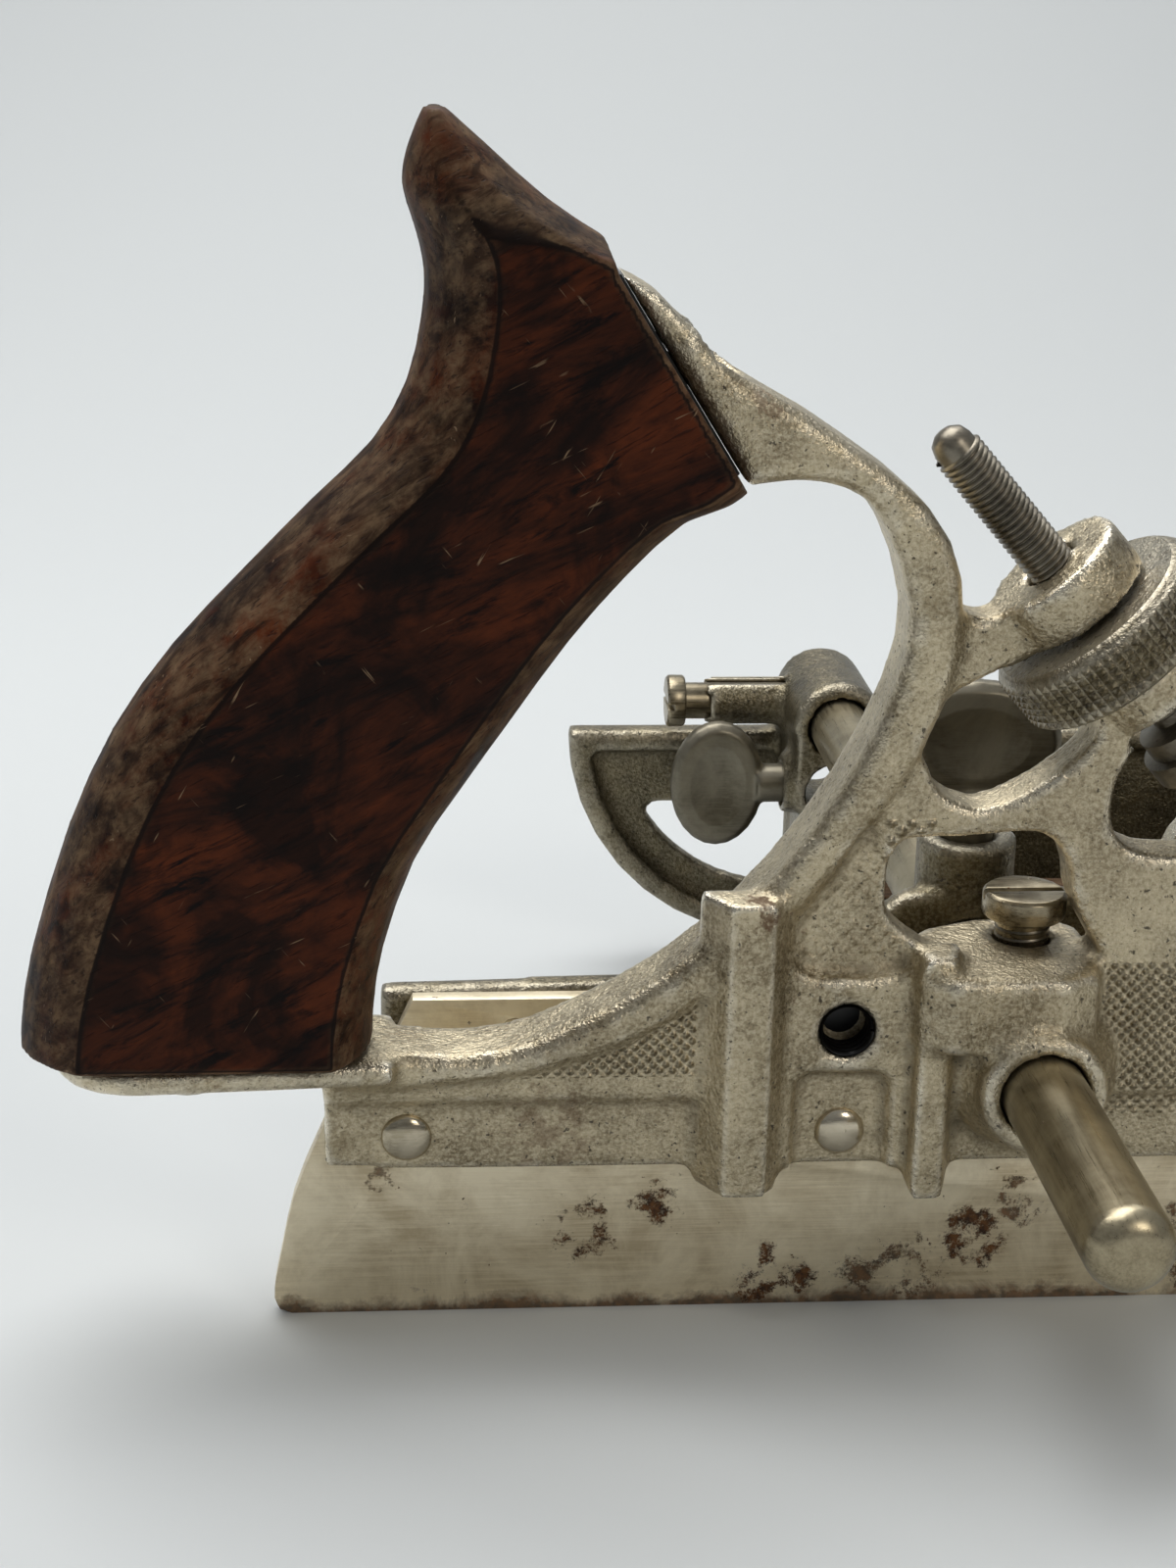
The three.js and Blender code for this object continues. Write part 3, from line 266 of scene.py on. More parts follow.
# %% Steels
def steel(name, dark, light, rough, scratch_axis=0, scratch=0.05, rust_amount=0.5, sole=None, places=()):
    m, shader = new_finish(name, Metallic=0.95)
    link = m.node_tree.links.new
    where = millimetres(m)
    long_way = [0.03 if axis == scratch_axis else 1.0 for axis in range(3)]
    lines = noise(m, millimetres(m, long_way), 0.35, 4, 0.7)
    clouds = noise(m, where, 12, 6, 0.7, 0.4)
    base = blend_colour(m, fade(m, clouds, 0.38, 0.62), dark, light)
    base = blend_colour(m, maths(m, "MULTIPLY", fade(m, lines, 0.44, 0.60), 0.45), base, light)
    islands = fade(m, noise(m, where, 8, 9, 0.72, 0.3), 0.685 - 0.05 * rust_amount, 0.75)
    specks = fade(m, noise(m, where, 1.6, 4, 0.6), 0.70, 0.74)
    rust = maths(m, "MULTIPLY", maths(m, "MAXIMUM", islands, specks), min(1.0, rust_amount * 1.4))
    for centre, radius, share in places:
        rust = maths(m, "MAXIMUM", rust, ragged_patch(m, where, centre, radius, share))
    if sole is not None:
        height = add_node(m, "SeparateXYZ", Vector=where).outputs["Z"]
        wander = maths(m, "ADD", height, swing(m, clouds, 9))
        low_rust = maths(m, "MULTIPLY", fade(m, wander, sole + 2.2, sole + 0.4), 0.85)
        rust = maths(m, "MAXIMUM", rust, low_rust)
    brown = blend_colour(m, fade(m, noise(m, where, 1.3, 4), 0.4, 0.6), "#331e0e", "#6e4824")
    base = blend_colour(m, rust, base, brown)
    link(base, shader.inputs["Base Color"])
    link(blend_value(m, rust, 0.92, 0.1), shader.inputs["Metallic"])
    brushed = fade(m, lines, 0.3, 0.7, rough - 0.05, rough + 0.1)
    link(blend_value(m, rust, brushed, 0.85), shader.inputs["Roughness"])
    normal = bump(m, shader, lines, scratch, 0.7)
    bump(m, shader, rust, 0.08, 0.8, normal)
    return m


SKATE_RUST = (((-54.5, -1.3, 11.5), 5.5, 1.0), ((-45, -1.3, 15.5), 4.5, 1.0),
              ((-30, -1.3, 3), 7, 1.0), ((-5, -1.3, 9), 6, 1.0), ((1, -1.3, 14), 5, 0.9),
              ((-15, -1.3, 2), 8, 0.9), ((25, -1.3, 6), 9, 0.9), ((-80, -1.3, 19), 3, 0.7),
              ((70, -1.3, 5), 8, 0.8))
skate_steel = steel("ground steel, rusted", "#c9b99a", "#f0e4c8", 0.42, 0, 0.06, 0.8,
                    sole=0.0, places=SKATE_RUST)
bar_steel = steel("round bar steel", "#857a62", "#b0a58a", 0.30, 1, 0.02, 0.25)
blade_steel = steel("tool steel", "#756b56", "#a2977d", 0.36, 1, 0.03, 0.5)
bright_steel = steel("polished steel", "#a0967f", "#d2c8b3", 0.17, 0, 0.02, 0.3)
dark_steel = steel("oiled thread steel", "#534e44", "#8d8678", 0.34, 0, 0.02, 0.3)
dull_steel = steel("dull thumb screw steel", "#5c574a", "#7f796a", 0.40, 0, 0.03, 0.2)
# Black oil for the tapped hole, and painted shade for the seam slip.
black_oil_and_shade, _ = new_finish("old black oil", Base_Color=colour("#0d0c0b"), Roughness=0.3, Metallic=0.3)

# %% [markdown]
# ## Rosewood
# The handle is rosewood under an old shellac finish: nearly black streaks run
# along the grain through a red-brown wood, hands have rubbed the round back and
# front to a dull grey-brown, a painted dark line shades the creases beside the
# flat cheeks, and short pale scratches cross it. The grain rises to the toe, so
# the pattern is turned to that slope and drawn out along it.

# %% Rosewood
def rosewood(name, lean):
    m, shader = new_finish(name, Metallic=0.0, Specular_IOR_Level=0.10)
    link = m.node_tree.links.new
    where = millimetres(m)
    slope = (0, math.radians(-lean), 0)
    along = millimetres(m, (0.2, 1, 1), slope)
    figure = noise(m, along, 11, 8, 0.68, 1.6)
    streaks = noise(m, along, 2.2, 6, 0.7, 0.6)
    blotch = noise(m, where, 14, 5, 0.6, 0.8)
    pores = fade(m, noise(m, millimetres(m, (0.1, 1, 1), slope), 0.5, 2), 0.60, 0.68)
    sharp = add_node(m, "NewGeometry").outputs["Pointiness"]
    base = blend_colour(m, fade(m, figure, 0.38, 0.64), "#170904", "#54260f")
    base = blend_colour(m, fade(m, streaks, 0.52, 0.64), base, "#0a0302")
    base = blend_colour(m, maths(m, "MULTIPLY", fade(m, blotch, 0.46, 0.60), 0.8), base, "#0b0503")
    rubbed = maths(m, "ADD", sharp, swing(m, streaks, 0.05))
    worn = maths(m, "MULTIPLY", fade(m, rubbed, 0.508, 0.545), 0.75)
    flatness = maths(m, "ABSOLUTE", facing_sideways(m))
    band = fade(m, flatness, 0.975, 0.93, 0.0, 0.85)
    band = maths(m, "MULTIPLY", band, fade(m, noise(m, where, 5, 6, 0.7), 0.36, 0.62))
    worn = maths(m, "MAXIMUM", worn, band)
    bare_wood = blend_colour(m, fade(m, streaks, 0.4, 0.6), "#705a43", "#3a281a")
    base = blend_colour(m, worn, base, bare_wood)
    # Painted shade: a thin dark line along the creases beside the flat cheeks.
    crease = maths(m, "MULTIPLY", fade(m, flatness, 0.997, 0.985), fade(m, flatness, 0.915, 0.945))
    base = blend_colour(m, maths(m, "MULTIPLY", crease, 0.85), base, "#0c0503")
    scratch = 0.0
    for turn, share in ((-60, 0.8), (-25, 0.6), (50, 0.7)):
        fine = noise(m, millimetres(m, (0.07, 1, 1), (0, math.radians(turn), 0)), 0.6, 2)
        broken = maths(m, "MULTIPLY", fade(m, fine, 0.70, 0.74), fade(m, noise(m, where, 6, 2), 0.55, 0.6))
        scratch = maths(m, "MAXIMUM", scratch, maths(m, "MULTIPLY", broken, share))
    base = blend_colour(m, scratch, base, "#8a7259")
    base = blend_colour(m, maths(m, "MULTIPLY", pores, 0.6), base, "#120705")
    link(base, shader.inputs["Base Color"])
    dull = maths(m, "MAXIMUM", worn, scratch)
    link(blend_value(m, dull, fade(m, blotch, 0.3, 0.7, 0.36, 0.50), 0.6), shader.inputs["Roughness"])
    normal = bump(m, shader, pores, -0.06, 0.6)
    normal = bump(m, shader, scratch, -0.12, 0.6, normal)
    bump(m, shader, blotch, 0.5, 0.25, normal)
    return m


handle_wood = rosewood("rosewood, handle", 28)
face_wood = rosewood("rosewood, fence and knob", 0)

# %% [markdown]
# ## Which finish goes where
# Each piece takes the finish of its slot. Some screws and castings are darker
# than the rest, so a second list names theirs: the clamp screws are rusty, the
# thumbscrews dull, and the section stock is painted darker as painted shade.

# %% Finishes by slot and by piece
FINISH = dict(nickel=plain_nickel, steel=bar_steel, skate_steel=skate_steel,
              polished_steel=bright_steel, dark_steel=dark_steel, rosewood=face_wood)
worn_steel = steel("worn screw steel", "#665c48", "#aa9f87", 0.28, 0, 0.03, 0.7)
OWN_FINISH = {f"{place}_thumbscrew": dull_steel
              for place in ("fence_rear", "fence_front", "section_rear", "section_front", "depth")}
OWN_FINISH |= {f"{place}_clamp_screw": worn_steel
               for place in ("rear", "front", "fence_rear", "fence_front")}
# Painted shade: the section stock's nickel is painted darker.
OWN_FINISH["section_stock"] = shade_darkened_nickel
print(len(bpy.data.materials), "materials")


# %% [markdown]
# ## From a frame solid to a finished piece
# A finished piece takes the place of its frame solid, moves with the same body
# and takes the finish of its slot, or one given for it. These helpers do that
# for every piece, so no piece can be left behind when the plane's parts slide.

# %% Piece helpers
def pick(obj):
    bpy.ops.object.select_all(action="DESELECT")
    obj.select_set(True)
    bpy.context.view_layer.objects.active = obj
    return obj


def apply_modifier(obj, kind, **settings):
    modifier = pick(obj).modifiers.new(kind.lower(), kind)
    for key, value in settings.items():
        setattr(modifier, key, value)
    bpy.ops.object.modifier_apply(modifier=modifier.name)


def bake_place(obj):
    """Move an object's place, turn and scale into its mesh."""
    pick(obj)
    bpy.ops.object.transform_apply(location=True, rotation=True, scale=True)


def extra(obj, name, body, material):
    """Give a piece its name, finish and body."""
    bake_place(obj)
    obj.name = name
    obj.data.materials.clear()
    obj.data.materials.append(material)
    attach(obj, body)
    return obj


def settle(obj, node, material=None):
    """Let a finished piece stand for its node."""
    finish = material or OWN_FINISH.get(node) or FINISH[SLOT_OF[node]]
    extra(obj, node + "_piece", BODY_OF[node], finish)
    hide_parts(node)
    return obj


def copy_solid(node):
    """A welded copy of a frame solid, which itself stays untouched."""
    obj = bpy.data.objects.new(node + "_piece", frame["nodes"][node].data.copy())
    bpy.context.collection.objects.link(obj)
    pick(obj)
    bpy.ops.object.mode_set(mode="EDIT")
    bpy.ops.mesh.select_all(action="SELECT")
    bpy.ops.mesh.remove_doubles(threshold=1e-6)
    bpy.ops.object.mode_set(mode="OBJECT")
    return obj


# %% [markdown]
# ## Castings
# A sand casting has no sharp corners: the sand rounds each one, and a fillet
# fills every inner corner. Bevelling a solid cut by a dozen others would fail
# at its thin faces. Remeshing it into small even squares and then smoothing
# them rounds all its corners at once, as the sand does.

# %% Round the castings
def cast(node, grid, passes, material=None):
    obj = copy_solid(node)
    apply_modifier(obj, "REMESH", mode="VOXEL", voxel_size=grid * MM, adaptivity=0.0)
    apply_modifier(obj, "SMOOTH", factor=0.5, iterations=passes)
    pick(obj)
    bpy.ops.object.shade_smooth()
    print(node, len(obj.data.polygons), "squares")
    return settle(obj, node, material)


cast("main_stock", 0.72, 5, stock_nickel)
cast("section_stock", 0.95, 3)
cast("fence_casting", 1.0, 3, shade_darkened_nickel)
for small in ("cutter_clip", "cutter_wing_nut", "depth_gauge", "bead_stop"):
    cast(small, 0.5, 3)

# %% [markdown]
# ## The handle and the knob
# Both were shaped by hand or on a lathe and sanded, so their solids only need
# their facets melted away, keeping the crease between flat cheek and round back.

# %% Smooth the wood
cast("grip", 0.6, 3, handle_wood)
cast("fence_knob", 0.7, 6, face_wood)

# %% [markdown]
# ## Plain turned and flat parts
# Everything turned, rolled or sheared keeps its crisp edges. A tiny bevel
# catches the light on each edge, and shading is smooth only across the shallow
# angles between the facets of a round.

# %% Crisp parts
def crisp(node, bevel=0.12, material=None):
    obj = copy_solid(node)
    apply_modifier(obj, "BEVEL", width=bevel * MM, segments=2, limit_method="ANGLE",
                   angle_limit=math.radians(40), use_clamp_overlap=True)
    pick(obj)
    bpy.ops.object.shade_smooth_by_angle(angle=math.radians(35))
    return settle(obj, node, material)


for node in ("rear_skate", "front_skate", "section_rear_skate", "section_front_skate"):
    crisp(node)
crisp("cutter", 0.15, blade_steel)
crisp("fence_face", 0.4)
for node in SLOT_OF:
    if node.endswith(("clamp_screw", "spur", "spur_screw", "knob_bolt", "cutter_bolt")) \
            or node.startswith(("grip_foot", "grip_horn", "fence_face_screw")):
        crisp(node, 0.1)

# %% [markdown]
# ## Arms
# The two arms are one round bar, cut twice, with a domed and polished end. We
# add a cylinder at its real radius, and bevel its two end rims into domes.

# %% Round bars with domed ends
DOME_SHARE = 0.62  # of the bar's radius


def ring_edges(mesh, axis, value, tolerance=1e-5):
    return [e for e in mesh.edges if all(abs(v.co[axis] - value) < tolerance for v in e.verts)]


def domed_bar(node):
    low, high = (Vector(corner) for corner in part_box(node))
    radius = (high.x - low.x) / 2
    bpy.ops.object.select_all(action="DESELECT")
    bpy.ops.mesh.primitive_cylinder_add(vertices=64, radius=radius, depth=high.y - low.y,
                                        location=(low + high) / 2, rotation=(math.pi / 2, 0, 0))
    obj = bpy.context.object
    bake_place(obj)
    bpy.ops.object.mode_set(mode="EDIT")
    mesh = bmesh.from_edit_mesh(obj.data)
    bpy.ops.mesh.select_all(action="DESELECT")
    for edge in ring_edges(mesh, 1, low.y) + ring_edges(mesh, 1, high.y):
        edge.select_set(True)
    bpy.ops.mesh.bevel(offset=radius * DOME_SHARE, segments=10, profile=0.5)
    bpy.ops.object.mode_set(mode="OBJECT")
    bpy.ops.object.shade_smooth_by_angle(angle=math.radians(40))
    return settle(obj, node, bar_steel)


for node in ("rear_arm", "front_arm"):
    domed_bar(node)

# %% [markdown]
# ## Rivets
# The skates are held by round-headed rivets, peened over and polished. One
# half-sunk ball, flattened a little, is a good head. It is made once, and each
# copy gets its own mesh and is moved onto its own rivet.

# %% One rivet, copied
def place_rivet(master, node):
    low, high = (Vector(corner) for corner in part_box(node))
    obj = master.copy()
    obj.data = master.data.copy()
    bpy.context.collection.objects.link(obj)
    obj.location = ((low.x + high.x) / 2, low.y, (low.z + high.z) / 2)
    return settle(obj, node)


RIVET_SINK, RIVET_FLATNESS = 1.5 * MM, 0.45
first_low, first_high = (Vector(corner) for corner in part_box("skate_rivet_1"))
bpy.ops.object.select_all(action="DESELECT")
bpy.ops.mesh.primitive_uv_sphere_add(segments=32, ring_count=20,
                                     radius=(first_high.x - first_low.x) / 2)
rivet_master = bpy.context.object
bpy.ops.object.mode_set(mode="EDIT")
bpy.ops.mesh.select_all(action="SELECT")
bpy.ops.transform.rotate(value=math.pi / 2, orient_axis="X", center_override=(0, 0, 0))
bpy.ops.transform.resize(value=(1, RIVET_FLATNESS, 1))
bpy.ops.transform.translate(value=(0, RIVET_SINK, 0))
bpy.ops.mesh.bisect(plane_co=(0, RIVET_SINK, 0), plane_no=(0, 1, 0), clear_outer=True, use_fill=True)
bpy.ops.object.mode_set(mode="OBJECT")
bpy.ops.object.shade_smooth_by_angle(angle=math.radians(40))
for node in SLOT_OF:
    if node.startswith(("skate_rivet", "section_rivet")):
        place_rivet(rivet_master, node)
bpy.data.objects.remove(rivet_master)

# %% [markdown]
# ## The adjusting screw
# Its thread is cut at 32 to the inch, so one turn climbs 0.794 mm. The lock
# screws are coarser, with 24 to the inch. A thread is one sharp tooth swept in
# a helix, which the Screw modifier does: the tooth climbs by the pitch on each
# turn. The core is a spun profile, a little thinner than the thread.

# %% Thread and core
THREAD_PITCH = 25.4 / 24 * MM
FEED_PITCH = 25.4 / 32 * MM
JOINT = {joint["name"]: joint for joint in frame["record"]["behaviour"]["joints"]}
feed = Vector(JOINT["cutter_feed"]["axis"])
TIP = Vector((-15.5, 0, 112.1)) * MM


def lay_along(obj, start, direction):
    """Bring what was made along +Z to its own start and axis."""
    turn = Vector((0, 0, 1)).rotation_difference(direction).to_matrix().to_4x4()
    obj.matrix_world = Matrix.Translation(start) @ turn


def helix(radius, depth, length, start, direction, rise=THREAD_PITCH, steps=24):
    """One tooth profile swept up a screw along +Z, then laid on its axis."""
    root, crest = rise * 0.46, rise * 0.08
    mesh = bpy.data.meshes.new("tooth")
    mesh.from_pydata([(radius - depth, 0, -root), (radius, 0, -crest), (radius, 0, crest),
                      (radius - depth, 0, root)], [(0, 1), (1, 2), (2, 3)], [])
    obj = bpy.data.objects.new("tooth", mesh)
    bpy.context.collection.objects.link(obj)
    turns = int(length / rise)
    apply_modifier(obj, "SCREW", axis="Z", angle=2 * math.pi, screw_offset=rise, iterations=turns,
                   steps=steps, render_steps=steps, use_merge_vertices=True, merge_threshold=1e-6)
    lay_along(obj, start, direction)
    return obj


def join(main, *others):
    pick(main)
    for other in others:
        other.select_set(True)
    bpy.context.view_layer.objects.active = main
    bpy.ops.object.join()
    return main


def turned(profile, start, direction, facets=48):
    """Spin a profile of (radius, distance) pairs round an axis."""
    mesh = bpy.data.meshes.new("profile")
    points = [(r * MM, 0, d * MM) for r, d in profile]
    mesh.from_pydata(points, [(i, i + 1) for i in range(len(points) - 1)], [])
    obj = bpy.data.objects.new("profile", mesh)
    bpy.context.collection.objects.link(obj)
    pick(obj)
    bpy.ops.object.mode_set(mode="EDIT")
    bpy.ops.mesh.select_all(action="SELECT")
    bpy.ops.mesh.spin(steps=facets, angle=2 * math.pi, center=(0, 0, 0), axis=(0, 0, 1))
    bpy.ops.mesh.select_all(action="SELECT")
    bpy.ops.mesh.remove_doubles(threshold=1e-6)
    bpy.ops.mesh.normals_make_consistent(inside=False)
    bpy.ops.object.mode_set(mode="OBJECT")
    lay_along(obj, start, direction)
    bpy.ops.object.shade_smooth_by_angle(angle=math.radians(35))
    return obj


core = turned([(0, 0.05), (1.2, 0.3), (2.1, 1.0), (2.5, 2.2), (2.5, 45.5), (5.1, 46.1), (5.1, 48.6),
               (6.3, 48.8), (6.3, 51.8), (0, 51.9)], TIP, feed)
thread = helix(2.95 * MM, 0.42 * MM, 42 * MM, TIP + feed * 3 * MM, feed, FEED_PITCH)
bake_place(thread)
settle(join(core, thread), "adjusting_screw", dark_steel)

# %% [markdown]
# ## The knurled wheel
# A knurling tool presses two crossed sets of lines into the rim and leaves rows
# of small pyramids, here about 1.2 mm apart. We spin a plain wheel, select the
# rim's faces by their normals and poke each one outwards into a pyramid.

# %% Knurl the wheel
WHEEL_START, WHEEL_LENGTH, WHEEL_RADIUS = 27.8, 8.5, 13.5
RIM_START, RIM_END, KNURL_DEPTH = 0.9, 7.4, 0.42


def rim_rows(radius, start, end, rows):
    """The part of a profile that runs along a rim, cut into even rows."""
    return [(radius, start + (end - start) * i / rows) for i in range(rows + 1)]


def knurled(profile, start, direction, rim, facets, depth=KNURL_DEPTH):
    obj = turned(profile, start, direction, facets)
    bake_place(obj)
    bpy.ops.object.mode_set(mode="EDIT")
    mesh = bmesh.from_edit_mesh(obj.data)
    bpy.ops.mesh.select_all(action="DESELECT")
    for face in mesh.faces:
        outwards = face.calc_center_median() - start
        radial = outwards - direction * outwards.dot(direction)
        across = abs(face.normal.dot(direction))
        face.select_set(across < 0.12 and radial.length > rim * MM and face.normal.dot(radial) > 0)
    bpy.ops.mesh.poke(offset=depth * MM)
    bpy.ops.object.mode_set(mode="OBJECT")
    bpy.ops.object.shade_smooth_by_angle(angle=math.radians(12))
    return obj


wheel_profile = [(3.3, 0), (12.0, 0), (12.5, 0.3),
                 *rim_rows(WHEEL_RADIUS - KNURL_DEPTH, RIM_START, RIM_END, 6),
                 (12.4, 7.9), (10.9, WHEEL_LENGTH), (3.3, WHEEL_LENGTH), (3.3, 0)]
wheel = knurled(wheel_profile, TIP + feed * WHEEL_START * MM, feed, 12.9, 66)
settle(wheel, "adjusting_wheel", oily_shaded_wheel_nickel)

nut_low, nut_high = (Vector(corner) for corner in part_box("depth_nut"))
nut_middle = (nut_low + nut_high) / 2
nut_height = (nut_high.z - nut_low.z) / MM
nut_radius = (nut_high.x - nut_low.x) / 2 / MM
nut_foot = Vector((nut_middle.x, nut_middle.y, nut_low.z))
nut_profile = [(3.4, 0), (nut_radius - 1, 0), *rim_rows(nut_radius - 0.35, 0.6, nut_height - 0.6, 4),
               (nut_radius - 1, nut_height), (3.4, nut_height), (3.4, 0)]
nut = knurled(nut_profile, nut_foot, Vector((0, 0, 1)), nut_radius - 0.6, 40, 0.3)
settle(nut, "depth_nut")
crisp("bead_stop_nut", 0.2)

# %% [markdown]
# ## Thumbscrews
# The head of a thumbscrew is an oval wing, dished on both sides so that thumb
# and finger sit in it. We round the frame solid like the other castings, then
# cut a shallow bowl into each side with a flattened ball and the Boolean
# modifier. Each screw finds its own axes from its box.

# %% Dish the thumbscrews
BOWL_DEPTH, BOWL_ROUND = 0.9, 3.0


def dished(node, axis, normal, head=16.8, across=24, thick=4.4):
    low, high = (Vector(corner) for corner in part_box(node))
    outer = high if sum(axis) > 0 else low
    along = [abs(a) for a in axis].index(1)
    flat = [abs(n) for n in normal].index(1)
    centre = (low + high) / 2
    centre[along] = outer[along] - axis[along] * head / 2 * MM
    radii = Vector((across / 2 - 1.6,) * 3)
    radii[along], radii[flat] = head / 2 - 1.4, BOWL_ROUND
    obj = copy_solid(node)
    apply_modifier(obj, "REMESH", mode="VOXEL", voxel_size=0.42 * MM, adaptivity=0.0)
    for side in (1, -1):
        place = Vector(centre)
        place[flat] += side * (thick / 2 + BOWL_ROUND - BOWL_DEPTH) * MM
        bpy.ops.object.select_all(action="DESELECT")
        bpy.ops.mesh.primitive_uv_sphere_add(segments=48, ring_count=24, radius=MM, location=place)
        ball = bpy.context.object
        ball.scale = radii
        apply_modifier(obj, "BOOLEAN", operation="DIFFERENCE", solver="EXACT", object=ball)
        bpy.data.objects.remove(ball)
    apply_modifier(obj, "SMOOTH", factor=0.5, iterations=3)
    pick(obj)
    bpy.ops.object.shade_smooth()
    return settle(obj, node)


for end in ("rear", "front"):
    dished(f"section_{end}_thumbscrew", (0, 0, 1), (0, 1, 0))
dished("fence_rear_thumbscrew", (-1, 0, 0), (0, 1, 0))
dished("fence_front_thumbscrew", (1, 0, 0), (0, 1, 0))
cast("depth_thumbscrew", 0.45, 3)

# %% [markdown]
# ## The tapped hole and the seam
# A tapped hole is the same helix turned inside out, in a cup black with old
# oil. Where the handle meets the metal, a thin black slip lies in the seam as
# painted shade, so no light comes through.

# %% Fill the hole and the seam
HOLE_MOUTH = Vector((-23.2, -4.9, 39.3)) * MM
INWARDS = Vector((0, 1, 0))
cup = turned([(3.3, 0.1), (3.3, 5.6), (0, 5.7)], HOLE_MOUTH, INWARDS)
hole_thread = helix(2.85 * MM, -0.45 * MM, 5 * MM, HOLE_MOUTH + INWARDS * 0.6 * MM, INWARDS)
extra(join(cup, hole_thread), "tapped_hole_thread", "main_body", black_oil_and_shade)

for node, x in (("rear_clamp_screw", 0.0), ("front_clamp_screw", 118.0)):
    ridge = helix(3.45 * MM, 0.4 * MM, 3.2 * MM, Vector((x, 5, 47.4)) * MM, Vector((0, 0, 1)))
    extra(ridge, node + "_thread", BODY_OF[node], dark_steel)

# Painted shade: a thin black slip fills the seam between handle and metal.
seam_low, seam_high = Vector((-39.2, 0, 107.6)) * MM, Vector((-53.2, 0, 129.8)) * MM
bpy.ops.object.select_all(action="DESELECT")
bpy.ops.mesh.primitive_cube_add(size=1, location=(seam_low + seam_high) / 2)
seam = bpy.context.object
seam.scale = (0.7 * MM, 8.4 * MM, (seam_high - seam_low).length)
seam.rotation_euler = (0, math.atan2(seam_high.x - seam_low.x, seam_high.z - seam_low.z), 0)
bake_place(seam)
apply_modifier(seam, "BEVEL", width=0.2 * MM, segments=2)
extra(seam, "seam_grime", "main_body", black_oil_and_shade)

# %% [markdown]
# ## The frame solids
# The finished pieces stand for the frame solids, which still get the right
# finish. A node with no finished piece would be named in the printed list.

# %% Finish the frame solids
taken = {node for obj in bpy.data.objects for node in SLOT_OF if obj.name == node + "_piece"}
for node, slot in SLOT_OF.items():
    data = frame["nodes"][node].data
    data.materials.clear()
    data.materials.append(FINISH[slot])
print("kept as solids:", sorted(set(SLOT_OF) - taken))

# %% [markdown]
# ## A plain studio
# The plane stands on a pale sheet that curves up behind it. It rests on its
# thin skate and on the wooden face of the fence, which reaches lower, so the
# sheet is tipped until it touches both.

# %% The sheet
sole = Vector(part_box("rear_skate")[0])
face_low = Vector(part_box("fence_face")[0])
tip = math.atan2(sole.z - face_low.z, face_low.y - sole.y)
bpy.ops.object.select_all(action="DESELECT")
bpy.ops.mesh.primitive_plane_add(size=4, location=(0.04, 0, 0))
sheet = bpy.context.object
sheet.name = "paper_sheet"
bpy.ops.object.mode_set(mode="EDIT")
mesh = bmesh.from_edit_mesh(sheet.data)
bpy.ops.mesh.select_all(action="DESELECT")
back_edge = max(mesh.edges, key=lambda e: e.verts[0].co.y + e.verts[1].co.y)
back_edge.select_set(True)
bpy.ops.mesh.extrude_region_move(TRANSFORM_OT_translate={"value": (0, 0, 3)})
mesh = bmesh.from_edit_mesh(sheet.data)
bpy.ops.mesh.select_all(action="DESELECT")
at_back = [e for e in mesh.edges if min(v.co.y for v in e.verts) > 1.9]
crease = min(at_back, key=lambda e: sum(v.co.z for v in e.verts))
crease.select_set(True)
bpy.ops.mesh.bevel(offset=1.4, segments=24)
bpy.ops.object.mode_set(mode="OBJECT")
bpy.ops.object.shade_smooth()
pivot = Matrix.Translation((0, sole.y, sole.z))
sheet.matrix_world = pivot @ Matrix.Rotation(-tip, 4, "X") @ pivot.inverted() @ sheet.matrix_world
paper, paper_shader = new_finish("matte paper", Base_Color=colour("#cacdcd"), Roughness=0.8)
sheet.data.materials.append(paper)
print("sheet tipped by", round(math.degrees(tip), 2), "degrees")

# %% [markdown]
# ## Light
# Daylight from a wide window above and behind gives soft shadows that fall
# towards us, a weak lamp fills the near side, and a third lights the sheet's
# back. The room is dim in front and bright above, because metal looks like
# metal only when it has something dark and something bright to mirror.

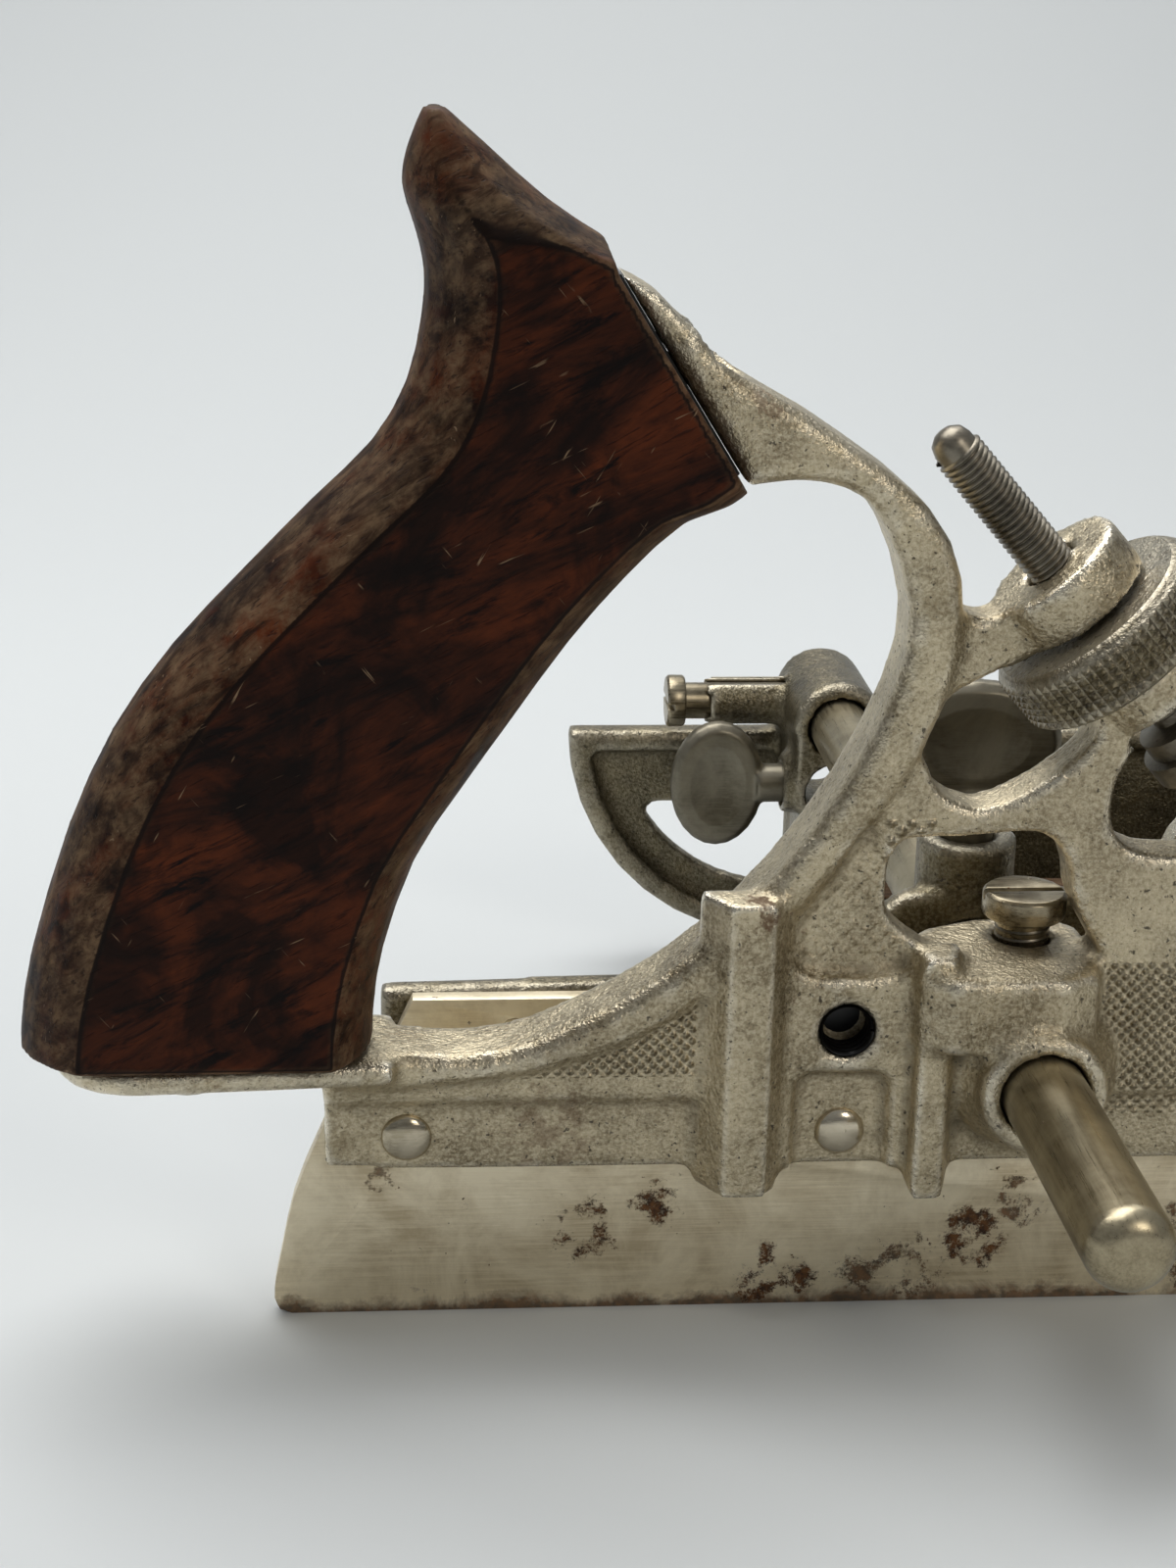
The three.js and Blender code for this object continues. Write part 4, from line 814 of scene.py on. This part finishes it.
# %% Lights
def soft_lamp(name, place, target, size, watts, tint):
    light = bpy.data.lights.new(name, "AREA")
    light.shape = "SQUARE"
    light.size, light.energy, light.color = size, watts, colour(tint)[:3]
    lamp = bpy.data.objects.new(name, light)
    bpy.context.collection.objects.link(lamp)
    lamp.location = place
    lamp.rotation_euler = (Vector(target) - Vector(place)).to_track_quat("-Z", "Y").to_euler()
    return lamp


soft_lamp("window", (-0.35, 0.42, 1.25), (0, 0.1, 0.05), 1.1, 17, "#ffffff")
soft_lamp("fill", (0.5, -0.9, 0.8), (0, 0, 0.05), 0.4, 3, "#fff8ee")
soft_lamp("back", (0.2, 1.2, 1.4), (0, 1.2, 0), 1.2, 9, "#ffffff")
world = bpy.data.worlds.new("pale room")
world.use_nodes = True
world.node_tree.nodes["Background"].inputs["Color"].default_value = colour("#e6eaee")
axes = add_node(world, "SeparateXYZ", Vector=add_node(world, "TexCoord").outputs["Generated"]).outputs
rise = maths(world, "ADD", maths(world, "MULTIPLY", axes["Y"], 0.4),
             maths(world, "MULTIPLY", axes["Z"], 0.65))
world.node_tree.links.new(fade(world, rise, -0.7, 0.7, 0.08, 0.40),
                          world.node_tree.nodes["Background"].inputs["Strength"])
bpy.context.scene.world = world
bpy.context.scene.view_settings.view_transform = "Standard"

# %% [markdown]
# ## Camera
# The camera stands low on the near side, turned a little to the toe, as a
# person looks at a plane on a bench.

# %% Camera
CAMERA_PLACE = Vector((-77.16, -277.24, 164.66)) * MM
LOOK_DOWN, TURN_TO_TOE, ROLL = 18.85, 4.56, 1.17
lens = bpy.data.cameras.new("bench view")
lens.lens, lens.sensor_width = 57.0, 36.0
lens.clip_start, lens.clip_end = 0.01, 50
camera = bpy.data.objects.new("bench view", lens)
bpy.context.collection.objects.link(camera)
camera.matrix_world = (Matrix.Translation(CAMERA_PLACE)
                       @ Matrix.Rotation(math.radians(-TURN_TO_TOE), 4, "Z")
                       @ Matrix.Rotation(math.radians(90 - LOOK_DOWN), 4, "X")
                       @ Matrix.Rotation(math.radians(ROLL), 4, "Z"))
bpy.context.scene.camera = camera
